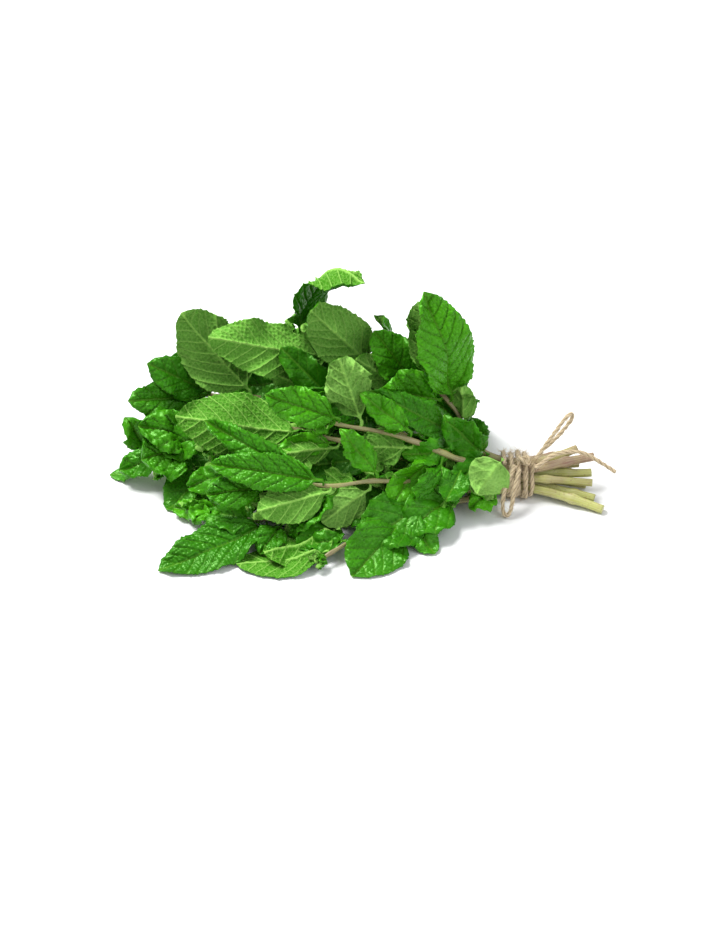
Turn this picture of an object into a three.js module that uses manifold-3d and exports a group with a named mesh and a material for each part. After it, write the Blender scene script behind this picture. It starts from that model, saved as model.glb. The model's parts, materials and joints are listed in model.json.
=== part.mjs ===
// A bunch of fresh mint, tied with jute twine and lying on a table.
//
// Millimetres, +Z up. The stems run along X, with their cut ends at +X and the leaves at -X.
// The table is the plane Z = 0, and the origin is the middle of the bunch's box on the table.
// Every stem, every leaf and every length of twine is a closed solid of its own.
import * as THREE from 'three';
import { mergeVertices } from 'three/addons/utils/BufferGeometryUtils.js';
import Module from 'manifold-3d';

const wasm = await Module();
wasm.setup();

// ---------------------------------------------------------------- driving dimensions
const STEM_WIDTH = 4.0; // a stem across, at its cut end
const STEM_TAPER = 0.6; // its width at the tip, as a share of that
const STEM_SIDES = 8;
const STEM_STATIONS = 16; // rings along one stem
const LEAF_GROWTH = 1.0; // multiplies the length of every leaf
const LEAF_BREADTH = 1.0; // and the width of every leaf
const BLADE_THICKNESS = 0.8;
const PETIOLE_LENGTH = 4.0; // the short stalk between a stem and a blade
const PETIOLE_WIDTH = 1.8;
const TWINE_DIAMETER = 1.8;
const TWINE_SIDES = 8;
const TIE_TURNS = 5;
const TIE_X = 69; // where the middle of the tie is along the stems
const TIE_Y = 8.6; // and across them
const GAP = 0.35; // clearance between neighbouring pieces
const TABLE_GAP = 0.3; // what the tie clears the table by

// ---------------------------------------------------------------- small helpers
const rad = THREE.MathUtils.degToRad;
const vec = (x, y, z) => new THREE.Vector3(x, y, z);
const X_AXIS = vec(1, 0, 0);
const Z_AXIS = vec(0, 0, 1);

// A closed skin over rings of points, with one pole at each end. Each ring runs anticlockwise
// when it is seen from the far end.
function loft(rings, firstPole, lastPole) {
  const sides = rings[0].length;
  const points = [firstPole, ...rings.flat(), lastPole];
  const last = points.length - 1;
  const at = (ring, side) => 1 + ring * sides + (side % sides);
  const faces = [];
  for (let side = 0; side < sides; side++) {
    faces.push(0, at(0, side + 1), at(0, side));
    faces.push(last, at(rings.length - 1, side), at(rings.length - 1, side + 1));
    for (let ring = 0; ring < rings.length - 1; ring++) {
      faces.push(at(ring, side), at(ring, side + 1), at(ring + 1, side));
      faces.push(at(ring, side + 1), at(ring + 1, side + 1), at(ring + 1, side));
    }
  }
  return new THREE.BufferGeometry().setFromPoints(points).setIndex(faces);
}

// The solid of a geometry, for finding out whether two pieces meet.
function solidOf(geometry) {
  const bare = geometry.clone();
  bare.deleteAttribute('normal');
  bare.deleteAttribute('uv');
  const merged = mergeVertices(bare, 1e-4);
  return new wasm.Manifold(new wasm.Mesh({
    numProp: 3,
    vertProperties: new Float32Array(merged.attributes.position.array),
    triVerts: new Uint32Array(merged.index.array),
  }));
}

// ---------------------------------------------------------------- the group, and what is in it
const bunch = new THREE.Group();
const placed = []; // each piece's solid and its box, for keeping the next piece clear of it
const COLOURS = { stem: 0x9aa65a, leaf: 0x3f8f2c, twine: 0xb89c6c };
const ROUGHNESS = { stem: 0.5, leaf: 0.45, twine: 0.9 };

function boxOf(geometry) {
  return new THREE.Box3().setFromBufferAttribute(geometry.attributes.position);
}

function addPiece(name, kind, geometry) {
  const look = { color: COLOURS[kind], roughness: ROUGHNESS[kind], metalness: 0 };
  const mesh = new THREE.Mesh(geometry, new THREE.MeshStandardMaterial(look));
  mesh.name = name;
  bunch.add(mesh);
  placed.push({ name, solid: solidOf(geometry), box: boxOf(geometry) });
}

function meetsAnything(geometry) {
  const box = boxOf(geometry);
  const near = placed.filter((piece) => piece.box.intersectsBox(box));
  if (near.length === 0) return false;
  const solid = solidOf(geometry);
  const meets = near.some((piece) => {
    const common = solid.intersect(piece.solid);
    const shared = !common.isEmpty();
    common.delete();
    return shared;
  });
  solid.delete();
  return meets;
}

// ---------------------------------------------------------------- the stems
// In the tie the stems lie in rows, each row in the hollows of the one below it.
const STEM_PITCH = STEM_WIDTH + GAP;
const ROW_RISE = STEM_PITCH * Math.sin(rad(60));
const TIE_REACH = STEM_WIDTH / 2 + 1.4 * GAP + TWINE_DIAMETER / 2; // 1.4: its chords cut corners
const FIRST_ROW_Z = TABLE_GAP + TIE_REACH + TWINE_DIAMETER / 2;
const TIE_HALF = (TIE_TURNS * (TWINE_DIAMETER + GAP)) / 2;

// Each stem: its slot in the tie (the row, and its place across), its cut end, and the points
// that it passes through on its way to its tip, in the order from the tie.
const STEMS = {
  front_low: {
    slot: [0, -1.5],
    cut: [104, -9, 2],
    way: [[48, -5, 5], [30, -13, 7], [8, -27, 8], [-10, -41, 6], [-16, -45, 5]],
  },
  front_mid: {
    slot: [0, -0.5],
    cut: [101, -2, 2],
    way: [[48, 3, 4], [20, -10, 5], [-5, -21, 8], [-26, -21, 8], [-50, -22, 7], [-66, -13, 9]],
  },
  middle_low: {
    slot: [0, 0.5],
    cut: [98, 8, 2],
    way: [[48, 11, 4], [20, 14, 5], [-10, 16, 9], [-43, 17, 14], [-69, 18, 15], [-84, 13, 12]],
  },
  back_low: {
    slot: [0, 1.5],
    cut: [92, 20, 2],
    way: [[48, 20, 4], [30, 30, 5], [10, 42, 7], [-20, 56, 8], [-38, 61, 8]],
  },
  front_high: {
    slot: [1, -1],
    cut: [100, 2.5, 7.5],
    way: [
      [48, 0, 12], [34, -3, 13], [21, -7, 16], [5, -14, 21],
      [-12, -19, 23], [-26, -17, 22], [-42, -16, 19],
    ],
  },
  middle_high: {
    slot: [1, 0],
    cut: [100, 9, 8],
    way: [[48, 8, 11], [20, 7, 17], [-9, 5, 28], [-33, 9, 32], [-50, 7, 29], [-60, 4, 25]],
  },
  back_mid: {
    slot: [1, 1],
    cut: [95, 15, 8],
    way: [[48, 15, 11], [25, 21, 15], [0, 28, 26], [-26, 32, 30], [-52, 32, 32], [-69, 38, 29]],
  },
  back_high: {
    slot: [1, 2],
    cut: [90, 22, 7.5],
    way: [[56, 18.5, 9.5], [42, 25.5, 19], [22, 32, 34], [2, 39, 43], [-18, 46, 47], [-30, 50, 54]],
  },
  top_front: {
    slot: [2, -0.5],
    cut: [101, 13, 14],
    way: [[50, 4, 16], [40, 1, 22], [23, 1, 31], [0, 1, 38], [-12, 1, 41]],
  },
  top_back: {
    slot: [2, 0.5],
    cut: [94, 19, 13],
    way: [[52, 14, 17], [47, 17, 23], [40, 22, 33], [30, 27, 43]],
  },
};

function tieSlot([row, place]) {
  return { y: TIE_Y + STEM_PITCH * place, z: FIRST_ROW_Z + ROW_RISE * row };
}

function stemCurve({ slot, cut, way }) {
  const { y, z } = tieSlot(slot);
  const atTie = [TIE_X + TIE_HALF, TIE_X - TIE_HALF].map((x) => vec(x, y, z));
  const offTable = ([px, py, pz]) => vec(px, py, Math.max(pz, STEM_WIDTH / 2));
  return new THREE.CatmullRomCurve3([offTable(cut), ...atTie, ...way.map(offTable)], false, 'centripetal');
}

function stemRadius(share) {
  return (STEM_WIDTH / 2) * (1 - (1 - STEM_TAPER) * share ** 2);
}

function stemGeometry(curve) {
  const rings = [];
  for (let station = 0; station < STEM_STATIONS; station++) {
    const share = station / (STEM_STATIONS - 1);
    const centre = curve.getPointAt(share);
    const along = curve.getTangentAt(share);
    const across = Z_AXIS.clone().cross(along).normalize();
    const up = along.clone().cross(across);
    const radius = stemRadius(share);
    rings.push(Array.from({ length: STEM_SIDES }, (_, side) => {
      const angle = (2 * Math.PI * (side + 0.5)) / STEM_SIDES;
      return centre.clone()
        .addScaledVector(across, radius * Math.cos(angle))
        .addScaledVector(up, radius * Math.sin(angle));
    }));
  }
  return loft(rings, curve.getPointAt(0), curve.getPointAt(1));
}

const stemCurves = {};
for (const [name, stem] of Object.entries(STEMS)) {
  stemCurves[name] = stemCurve(stem);
  addPiece(`stem_${name}`, 'stem', stemGeometry(stemCurves[name]));
}

// ---------------------------------------------------------------- the twine
const TWINE_RADIUS = TWINE_DIAMETER / 2;
const TIE_PITCH = TWINE_DIAMETER + GAP;
const WRAP_STEPS = 24; // steps in one turn of the tie
const KNOT_RADIUS = 2.3;
const KNOT_LENGTH = 2.6;
const WRAP_START = rad(75); // where the wrap begins, up from the front
const KNOT_AHEAD = 1; // the knot's place along the stems from the middle of the tie
const KNOT_ASIDE = -5; // and across them
const TOP_ROW_Z = FIRST_ROW_Z + 2 * ROW_RISE;
const KNOT = vec(
  TIE_X + KNOT_AHEAD,
  TIE_Y + KNOT_ASIDE,
  TOP_ROW_Z + TIE_REACH + TWINE_RADIUS + GAP + KNOT_RADIUS,
);

function tube(curve, steps) {
  const section = new THREE.Shape();
  for (let side = 0; side < TWINE_SIDES; side++) {
    const angle = (2 * Math.PI * side) / TWINE_SIDES;
    const corner = [TWINE_RADIUS * Math.cos(angle), TWINE_RADIUS * Math.sin(angle)];
    if (side === 0) section.moveTo(...corner);
    else section.lineTo(...corner);
  }
  section.closePath();
  return new THREE.ExtrudeGeometry(section, { steps, extrudePath: curve, bevelEnabled: false });
}

// The twine lies round the outermost stems: in every direction its middle is one stem radius,
// one clearance and one twine radius beyond the outermost stem's middle.
function tieCurve() {
  const middles = Object.values(STEMS).map(({ slot }) => tieSlot(slot));
  const points = [];
  for (let step = 0; step <= TIE_TURNS * WRAP_STEPS; step++) {
    const angle = WRAP_START - (2 * Math.PI * step) / WRAP_STEPS;
    const [outY, outZ] = [-Math.cos(angle), Math.sin(angle)];
    const far = middles.reduce((a, b) => (b.y * outY + b.z * outZ > a.y * outY + a.z * outZ ? b : a));
    const x = TIE_X + TIE_HALF - TWINE_RADIUS - (TIE_PITCH * step) / WRAP_STEPS;
    points.push(vec(x, far.y + TIE_REACH * outY, far.z + TIE_REACH * outZ));
  }
  return new THREE.CatmullRomCurve3(points, false, 'centripetal');
}

function knotGeometry() {
  const knot = new THREE.CapsuleGeometry(KNOT_RADIUS, KNOT_LENGTH, 4, 10);
  return knot.rotateZ(Math.PI / 2).translate(...KNOT.toArray());
}

// The free twine's routes, in millimetres from the knot's middle. The two bows leave the knot
// and come back to it, and the tail ends in the air over the cut ends.
const BOW_FRONT = [
  [-3.8, -2.6, -1.2], [-4.7, -4.3, -2], [-5.6, -6, -3.2], [-6.6, -7.6, -4.8], [-7.6, -9, -6.8],
  [-8.4, -10.4, -8.9], [-9, -11.7, -11.2], [-9.3, -13, -13.3], [-9.2, -14.4, -15.4], [-8.5, -15.8, -17.2],
  [-7.2, -16.3, -17.5], [-6.1, -15.4, -16], [-5.4, -13.8, -13.6], [-4.8, -12, -10.8], [-4.2, -10, -7.8],
  [-3.5, -7.9, -5.1], [-2.8, -5.9, -3.2], [-2.1, -4.1, -2],
];
const BOW_UPRIGHT = [
  [5, 0, 0.8], [6.2, 0.4, 2.2], [8, 1.3, 4.8], [10, 2.4, 7.8], [12.2, 3.6, 10.8],
  [14.4, 4.9, 13.6], [16.4, 6.2, 16.2], [18.2, 7.3, 18], [19.8, 8.2, 18.5], [20.5, 8.7, 17.2],
  [20.2, 8.8, 15.2], [18.8, 8.5, 12.8], [16.9, 8, 10], [14.6, 7.2, 7.2], [12, 6.3, 4.7],
  [9.5, 5.3, 2.8], [7.2, 4.3, 1.4],
];
const TAIL = [
  [4.6, -3.4, -1.6], [6, -3, -0.8], [7.6, -2.5, 0.3], [9.6, -1.6, 1.6], [12, -0.7, 2.8],
  [15, 0, 3.6], [18.4, 0.4, 4], [21.4, 0.5, 4.1], [24, 0.4, 3.8], [26.4, 0.1, 3.1],
  [28.6, -0.3, 2.1], [30.8, -0.8, 0.8], [33, -1.3, -0.5], [35.4, -1.9, -1.9], [37.6, -2.5, -3.2],
  [39.4, -3, -4.3],
];

function routeCurve(route) {
  const points = route.map(([x, y, z]) => KNOT.clone().add(vec(x, y, z)));
  return new THREE.CatmullRomCurve3(points, false, 'centripetal');
}

addPiece('twine_wrap', 'twine', tube(tieCurve(), TIE_TURNS * WRAP_STEPS));
addPiece('twine_knot', 'twine', knotGeometry());
addPiece('twine_bow_front', 'twine', tube(routeCurve(BOW_FRONT), 22));
addPiece('twine_bow_upright', 'twine', tube(routeCurve(BOW_UPRIGHT), 22));
addPiece('twine_tail', 'twine', tube(routeCurve(TAIL), 16));
const CORDS = ['twine_bow_front', 'twine_bow_upright', 'twine_tail'];

// ---------------------------------------------------------------- the leaves
// Shares of a blade's length where its cross-sections are, and how far out the points of its
// upper and lower faces lie, as shares of its half-width.
const BLADE_STATIONS = [0.06, 0.18, 0.33, 0.5, 0.67, 0.82, 0.93];
const UPPER_PLACE = 0.55;
const LOWER_PLACE = 0.4;
const STEEPEST_PRESSED = 0.5; // a blade steeper than this isn't pressed flat by the table

// Half of a blade's width at a share of its length, as a share of its greatest half-width:
// broad below the middle and drawn to a point.
function outline(share) {
  return 2.28 * share ** 0.5 * (1 - share) ** 0.72;
}

// A leaf lies along its chord, from its foot at the origin to its tip on +X, with its upper
// face to +Z. arch bends it down along its length, sway bends it sideways, hook curls its tip
// and twist turns it about its midrib.
function leafFrames(leaf) {
  const slices = 48;
  const directionAt = (share) => {
    const late = Math.max(0, (share - 0.55) / 0.45) ** 1.5;
    const down = rad(leaf.arch * (0.5 - share) - leaf.hook * late);
    const side = rad(leaf.sway * (0.5 - share));
    return {
      along: vec(Math.cos(down) * Math.cos(side), Math.sin(side), Math.sin(down) * Math.cos(side)),
      across: vec(-Math.cos(down) * Math.sin(side), Math.cos(side), -Math.sin(down) * Math.sin(side)),
    };
  };
  const points = [vec(0, 0, 0)];
  for (let slice = 0; slice < slices; slice++) {
    points.push(points[slice].clone().add(directionAt((slice + 0.5) / slices).along));
  }
  const chord = points[slices].length();
  const straighten = new THREE.Quaternion().setFromUnitVectors(points[slices].clone().normalize(), X_AXIS);
  const curve = new THREE.CatmullRomCurve3(points);
  const scale = leaf.length / chord;
  const frameAt = (share) => {
    const { along, across } = directionAt(share);
    along.applyQuaternion(straighten);
    across.applyQuaternion(straighten).applyAxisAngle(along, rad(leaf.twist * (share - 0.5)));
    const centre = curve.getPoint(share).applyQuaternion(straighten).multiplyScalar(scale);
    return { centre, along, across, up: along.clone().cross(across) };
  };
  return { frameAt, arcLength: slices * scale };
}

// One cross-section: the left edge, three points of the upper face, the right edge and three
// points of the lower face. fold lifts both halves of the blade, and cup lifts their outer
// parts further.
function sectionPoints({ centre, across, up }, halfWidth, thickness, fold, cup) {
  const on = (outward, rise) => centre.clone().addScaledVector(across, outward).addScaledVector(up, rise);
  const half = thickness / 2;
  const inner = (sign, place, side) => on(
    sign * (halfWidth * place * Math.cos(fold) - side * half * Math.sin(fold)),
    halfWidth * place * Math.sin(fold) + side * half * Math.cos(fold),
  );
  const rest = halfWidth * (1 - UPPER_PLACE);
  const edge = (sign) => on(
    sign * (halfWidth * UPPER_PLACE * Math.cos(fold) + rest * Math.cos(fold + cup)),
    halfWidth * UPPER_PLACE * Math.sin(fold) + rest * Math.sin(fold + cup),
  );
  return {
    edges: [edge(1), edge(-1)],
    upper: [inner(1, UPPER_PLACE, 1), on(0, half), inner(-1, UPPER_PLACE, 1)],
    lower: [inner(-1, LOWER_PLACE, -1), on(0, -half), inner(1, LOWER_PLACE, -1)],
  };
}

// The leaf where it lies, or nothing where it would stand in the table. A blade that lies
// nearly level is pressed flat by the table instead. extra thickens the leaf all round.
function leafGeometry(leaf, foot, turn, extra = 0) {
  const { frameAt, arcLength } = leafFrames(leaf);
  const rings = [];
  let sunk = false;
  const press = (point, floor, steepness) => {
    point.applyQuaternion(turn).add(foot);
    if (point.z < floor && steepness < STEEPEST_PRESSED) sunk = sunk || point.z < -1;
    if (point.z < floor) point.setZ(floor);
    return point;
  };
  const addSection = (share, halfWidth, thickness, open) => {
    const frame = frameAt(share);
    const fold = rad(leaf.fold) * open;
    const cup = rad(leaf.cup) * open;
    const thick = thickness + 2 * extra;
    const { edges, upper, lower } = sectionPoints(frame, halfWidth + extra, thick, fold, cup);
    const level = frame.up.clone().applyQuaternion(turn).z;
    const [upperFloor, lowerFloor] = level > 0 ? [thick, 0] : [0, thick];
    const [left, right] = edges.map((point) => press(point, thick / 2, Math.abs(level)));
    const above = upper.map((point) => press(point, upperFloor, Math.abs(level)));
    const below = lower.map((point) => press(point, lowerFloor, Math.abs(level)));
    rings.push([left, ...above, right, ...below]);
  };
  const stalk = PETIOLE_LENGTH / arcLength;
  const stalkHalf = PETIOLE_WIDTH / 2;
  addSection(0, stalkHalf, PETIOLE_WIDTH * 0.8, 0);
  addSection(stalk * 0.75, stalkHalf, PETIOLE_WIDTH * 0.8, 0);
  for (const station of BLADE_STATIONS) {
    const width = outline(station);
    addSection(stalk + (1 - stalk) * station, (leaf.width / 2) * width, BLADE_THICKNESS, Math.sqrt(width));
  }
  const ends = [frameAt(0).centre, frameAt(1).centre].map((point) => press(point, BLADE_THICKNESS / 2, 1));
  return sunk ? null : loft(rings, ...ends);
}

// The ways a crowded leaf gives: it tilts, swings or rolls a little, and only then grows
// shorter. They are tried in the order of how much they change.
function waysToGive() {
  const ways = [];
  for (const size of [1, 0.85, 0.7]) {
    for (const tilt of [0, -5, 5, -10, 10, -16, 16, -24, 24]) {
      for (const swing of [0, -5, 5, -10, 10, -16, 16, -24, 24]) {
        for (const roll of [0, -12, 12, -25, 25]) {
          const cost = Math.hypot(tilt, swing, roll * 0.5) + (1 - size) * 60;
          ways.push({ size, tilt, swing, roll, cost });
        }
      }
    }
  }
  return ways.sort((a, b) => a.cost - b.cost);
}
const WAYS_TO_GIVE = waysToGive();

// Where a leaf's foot is: just off its stem, on the side that it grows towards.
function leafFoot(curve, at, chord) {
  const onStem = curve.getPointAt(at);
  const along = curve.getTangentAt(at);
  const away = chord.clone().addScaledVector(along, -chord.dot(along));
  if (away.length() < 0.05) away.copy(Z_AXIS).addScaledVector(along, -along.z);
  away.normalize();
  const lean = Math.sqrt(1 - Math.min(1, chord.dot(away) ** 2));
  return onStem.addScaledVector(away, stemRadius(at) + 1.5 * GAP + (PETIOLE_WIDTH / 2) * lean);
}

function addLeaf(name, row) {
  const { stem, at, tip, width, facing } = row;
  const { arch = 15, fold = 8, cup = 6, hook = 0, sway = 0, twist = 0 } = row;
  const curve = stemCurves[stem];
  const reach = vec(...tip).sub(curve.getPointAt(at));
  for (const { size, tilt, swing, roll } of WAYS_TO_GIVE) {
    const across = vec(...facing).cross(reach).normalize();
    const chord = reach.clone().normalize().applyAxisAngle(across, rad(tilt));
    const normal = chord.clone().cross(across);
    chord.applyAxisAngle(normal, rad(swing));
    across.crossVectors(normal, chord).applyAxisAngle(chord, rad(roll));
    const frame = new THREE.Matrix4().makeBasis(chord, across, chord.clone().cross(across));
    const turn = new THREE.Quaternion().setFromRotationMatrix(frame);
    const leaf = {
      length: reach.length() * LEAF_GROWTH * size,
      width: width * LEAF_BREADTH * Math.sqrt(size),
      arch, fold, cup, hook, sway, twist,
    };
    const foot = leafFoot(curve, at, chord);
    const roomy = leafGeometry(leaf, foot, turn, GAP);
    if (roomy && !meetsAnything(roomy)) {
      addPiece(name, 'leaf', leafGeometry(leaf, foot, turn));
      return;
    }
  }
  throw new Error(`${name} finds no room`);
}

// Every leaf: its stem, where along the stem it grows, where its tip is, its width, and which
// way its upper face looks. The leaves that others lie against come first.
const LEAVES = {
  crown_curl: {
    stem: 'back_high', at: 0.98, tip: [-9, 42, 93], width: 30,
    facing: [1, -1, -0.2], arch: -120,
  },
  crown_back: {
    stem: 'back_high', at: 0.84, tip: [-64, 35, 68], width: 25,
    facing: [0, 0.8, -0.6], arch: 18,
  },
  crown_mid: {
    stem: 'back_high', at: 0.71, tip: [-22, 31, 77], width: 24,
    facing: [-0.3, 0.9, -0.3], arch: 20,
  },
  left_tall: {
    stem: 'back_mid', at: 0.87, tip: [-77, 36, 71], width: 29,
    facing: [-0.4, 0.8, -0.3], arch: 25,
  },
  left_dark: { stem: 'back_mid', at: 0.98, tip: [-91, 30, 50], width: 18, facing: [0, -0.7, 0.7] },
  left_veined: { stem: 'back_mid', at: 0.99, tip: [-99, 25, 43], width: 18, facing: [0, -0.8, 0.6] },
  mid_pale: {
    stem: 'middle_high', at: 0.78, tip: [-79, 5, 37], width: 29,
    facing: [0, 0.7, -0.7], arch: 10,
  },
  mid_bumpy: { stem: 'front_high', at: 0.87, tip: [-66, -4, 43], width: 12, facing: [0, -0.8, 0.6] },
  mid_bright: { stem: 'top_front', at: 0.98, tip: [-41, 0, 54], width: 16, facing: [0, -0.8, 0.6] },
  mid_upright: { stem: 'top_front', at: 0.9, tip: [-10, 8, 67], width: 20, facing: [-0.3, 0.9, 0.2] },
  right_tall: {
    stem: 'top_back', at: 0.86, tip: [25, 28, 88], width: 27,
    facing: [0.5, -0.8, 0.2], arch: 30,
  },
  right_net: { stem: 'top_back', at: 0.97, tip: [22, 30, 82], width: 15, facing: [-0.6, 0.8, 0] },
  right_pale: { stem: 'top_back', at: 0.9, tip: [10, 14, 51], width: 22, facing: [0.3, -0.8, 0.5] },
  right_long: { stem: 'top_back', at: 0.62, tip: [6, 10, 53], width: 14, facing: [0.1, -0.7, 0.7] },
  right_behind: { stem: 'back_high', at: 0.55, tip: [4, 36, 62], width: 20, facing: [0, -0.7, 0.7] },
  right_olive: { stem: 'back_high', at: 0.6, tip: [3, 24, 60], width: 14, facing: [0, 0.8, -0.5] },
  tie_pale: { stem: 'top_front', at: 0.39, tip: [45, -8, 14], width: 20, facing: [0.3, 0.8, -0.4] },
  tie_dark: { stem: 'top_front', at: 0.5, tip: [37, -12, 7], width: 13, facing: [0, -1, 0.3] },
  drop_grey: { stem: 'top_front', at: 0.58, tip: [27, -20, 3], width: 22, facing: [0.2, -0.9, 0.4] },
  drop_bright: { stem: 'top_front', at: 0.62, tip: [13, -21, 6], width: 14, facing: [-0.2, -0.9, 0.4] },
  top_small: { stem: 'top_front', at: 0.7, tip: [-1, -3, 34], width: 16, facing: [0, 0.8, -0.5] },
  top_green: { stem: 'top_front', at: 0.72, tip: [0, 6, 52], width: 11, facing: [0.4, -0.8, 0.4] },
  node_curl: { stem: 'front_high', at: 0.66, tip: [-9, -12, 44], width: 11, facing: [0.4, -0.8, 0.3] },
  node_pale: { stem: 'front_high', at: 0.68, tip: [-17, -25, 11], width: 17, facing: [-0.2, 0.7, -0.6] },
  fold_strip: {
    stem: 'front_high', at: 0.78, tip: [-30, -29, 4], width: 13,
    facing: [-0.7, -0.6, 0.4], fold: 30,
  },
  fold_olive: { stem: 'front_high', at: 0.8, tip: [-44, -27, 18], width: 18, facing: [0, 0.7, -0.7] },
  long_light: { stem: 'front_high', at: 0.82, tip: [-63, -9, 29], width: 16, facing: [0, -0.7, 0.7] },
  end_bumpy: { stem: 'front_high', at: 0.98, tip: [-65, -18, 17], width: 15, facing: [0, -0.7, 0.7] },
  table_glossy: {
    stem: 'front_low', at: 0.72, tip: [-6, -49, -1], width: 26,
    facing: [0, -0.6, 0.8], arch: 25,
  },
  table_right: { stem: 'front_low', at: 0.68, tip: [30, -36, 0], width: 12, facing: [0, -0.4, 0.9] },
  table_olive: {
    stem: 'front_low', at: 0.97, tip: [-51, -47, -3], width: 21,
    facing: [0, 0.1, -1], arch: 0, fold: 3,
  },
  table_bumpy: { stem: 'front_mid', at: 0.84, tip: [-85, -46, -2], width: 23, facing: [0, -0.3, 1] },
  table_quilt: { stem: 'front_mid', at: 0.8, tip: [-43, -37, 2], width: 13, facing: [0, -0.5, 0.8] },
  far_flat: { stem: 'middle_low', at: 0.97, tip: [-110, 14, -1], width: 13, facing: [0, -0.2, 1] },
  far_quilt: { stem: 'middle_low', at: 0.93, tip: [-95, 8, 15], width: 26, facing: [-0.2, -0.6, 0.8] },
  far_small: { stem: 'middle_low', at: 0.99, tip: [-104, 10, 4], width: 14, facing: [-0.3, -0.5, 0.8] },
  far_dark: { stem: 'middle_low', at: 0.86, tip: [-86, -4, 0], width: 24, facing: [-0.2, -0.5, 0.9] },
  deep_shade: { stem: 'middle_high', at: 0.55, tip: [-40, -4, 24], width: 15, facing: [0, -0.6, 0.8] },
  deep_olive: { stem: 'middle_high', at: 0.68, tip: [-43, 2, 24], width: 12, facing: [0, 0.7, -0.7] },
  deep_green: { stem: 'back_mid', at: 0.66, tip: [-35, 34, 54], width: 15, facing: [0, -0.8, 0.6] },
  deep_blue: { stem: 'back_mid', at: 0.52, tip: [-25, 15, 48], width: 15, facing: [0, -0.7, 0.7] },
  back_table: { stem: 'back_low', at: 0.62, tip: [-2, 70, -2], width: 25, facing: [0, 0.3, 1] },
  back_left: { stem: 'back_low', at: 0.98, tip: [-78, 61, -3], width: 27, facing: [-0.2, 0.2, 1] },
  back_crown: { stem: 'back_high', at: 0.77, tip: [-8, 72, 36], width: 26, facing: [0, 0.7, 0.7] },
  back_slope: { stem: 'back_high', at: 0.9, tip: [-56, 64, 38], width: 25, facing: [-0.3, 0.6, 0.7] },
};
for (const [name, leaf] of Object.entries(LEAVES)) addLeaf(`leaf_${name}`, leaf);

// ---------------------------------------------------------------- the origin
// The middle of the bunch's box, without the free twine, goes to X = Y = 0.
const bunchBox = new THREE.Box3();
for (const { name, box } of placed) {
  if (!CORDS.includes(name)) bunchBox.union(box);
}
const middle = bunchBox.getCenter(vec(0, 0, 0));
bunch.position.set(-middle.x, -middle.y, -bunchBox.min.z);

export default bunch;
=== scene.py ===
"""A bunch of fresh mint, tied with jute twine and lying on a table.

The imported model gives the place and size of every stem, leaf and length of twine. Each one is
read as a stack of rings, and a finer surface is worked out over it. Lengths are in metres.
"""
import itertools
import json
import math

import bpy
import numpy as np
from bpy.props import FloatProperty, FloatVectorProperty, IntProperty, PointerProperty
from bpy.types import Operator, Panel, PropertyGroup
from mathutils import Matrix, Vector


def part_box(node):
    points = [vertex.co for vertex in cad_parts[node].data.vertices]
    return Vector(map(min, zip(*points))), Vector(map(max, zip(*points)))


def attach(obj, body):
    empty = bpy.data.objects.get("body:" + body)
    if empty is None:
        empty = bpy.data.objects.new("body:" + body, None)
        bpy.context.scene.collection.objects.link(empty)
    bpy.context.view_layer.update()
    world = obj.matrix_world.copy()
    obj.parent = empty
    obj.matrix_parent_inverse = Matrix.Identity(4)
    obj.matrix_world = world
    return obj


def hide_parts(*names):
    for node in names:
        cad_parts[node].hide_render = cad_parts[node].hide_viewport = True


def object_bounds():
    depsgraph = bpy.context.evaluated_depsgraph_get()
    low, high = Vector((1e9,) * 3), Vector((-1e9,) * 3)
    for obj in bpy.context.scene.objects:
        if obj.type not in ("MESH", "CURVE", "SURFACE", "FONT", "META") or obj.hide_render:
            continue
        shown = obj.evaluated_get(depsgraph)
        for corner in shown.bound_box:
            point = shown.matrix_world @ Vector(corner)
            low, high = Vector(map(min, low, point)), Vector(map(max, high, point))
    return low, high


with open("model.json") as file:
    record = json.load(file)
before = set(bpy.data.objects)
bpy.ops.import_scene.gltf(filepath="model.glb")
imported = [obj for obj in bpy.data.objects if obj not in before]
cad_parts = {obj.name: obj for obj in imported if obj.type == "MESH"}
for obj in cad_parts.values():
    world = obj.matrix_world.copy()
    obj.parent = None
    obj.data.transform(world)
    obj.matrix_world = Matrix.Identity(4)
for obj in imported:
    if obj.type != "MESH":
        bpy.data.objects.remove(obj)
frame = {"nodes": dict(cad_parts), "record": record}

bl_info = {
    "name": "Bunch of mint",
    "version": (1, 0, 0),
    "blender": (4, 5, 0),
    "location": "3D view > Sidebar > Mint",
    "description": "Makes a tied bunch of fresh mint around its packed frame",
    "category": "Object",
}

MM = 0.001
SIDES = 8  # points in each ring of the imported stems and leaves
COLUMNS = np.array([-1, -0.475, 0, 0.475, 1])  # where the five columns of a leaf's net stand
TABLE_GAP = 0.0001  # how far above the table the lowest points are held
VIEW_TILT = math.radians(38)  # how far above the horizon the front view looks from
STALK_HALF = 0.0009  # half-width of a leaf's stalk that has no packed one
CAD_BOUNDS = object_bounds()
KNOT_CENTRE = sum(map(np.array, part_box("twine_knot"))) / 2

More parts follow.
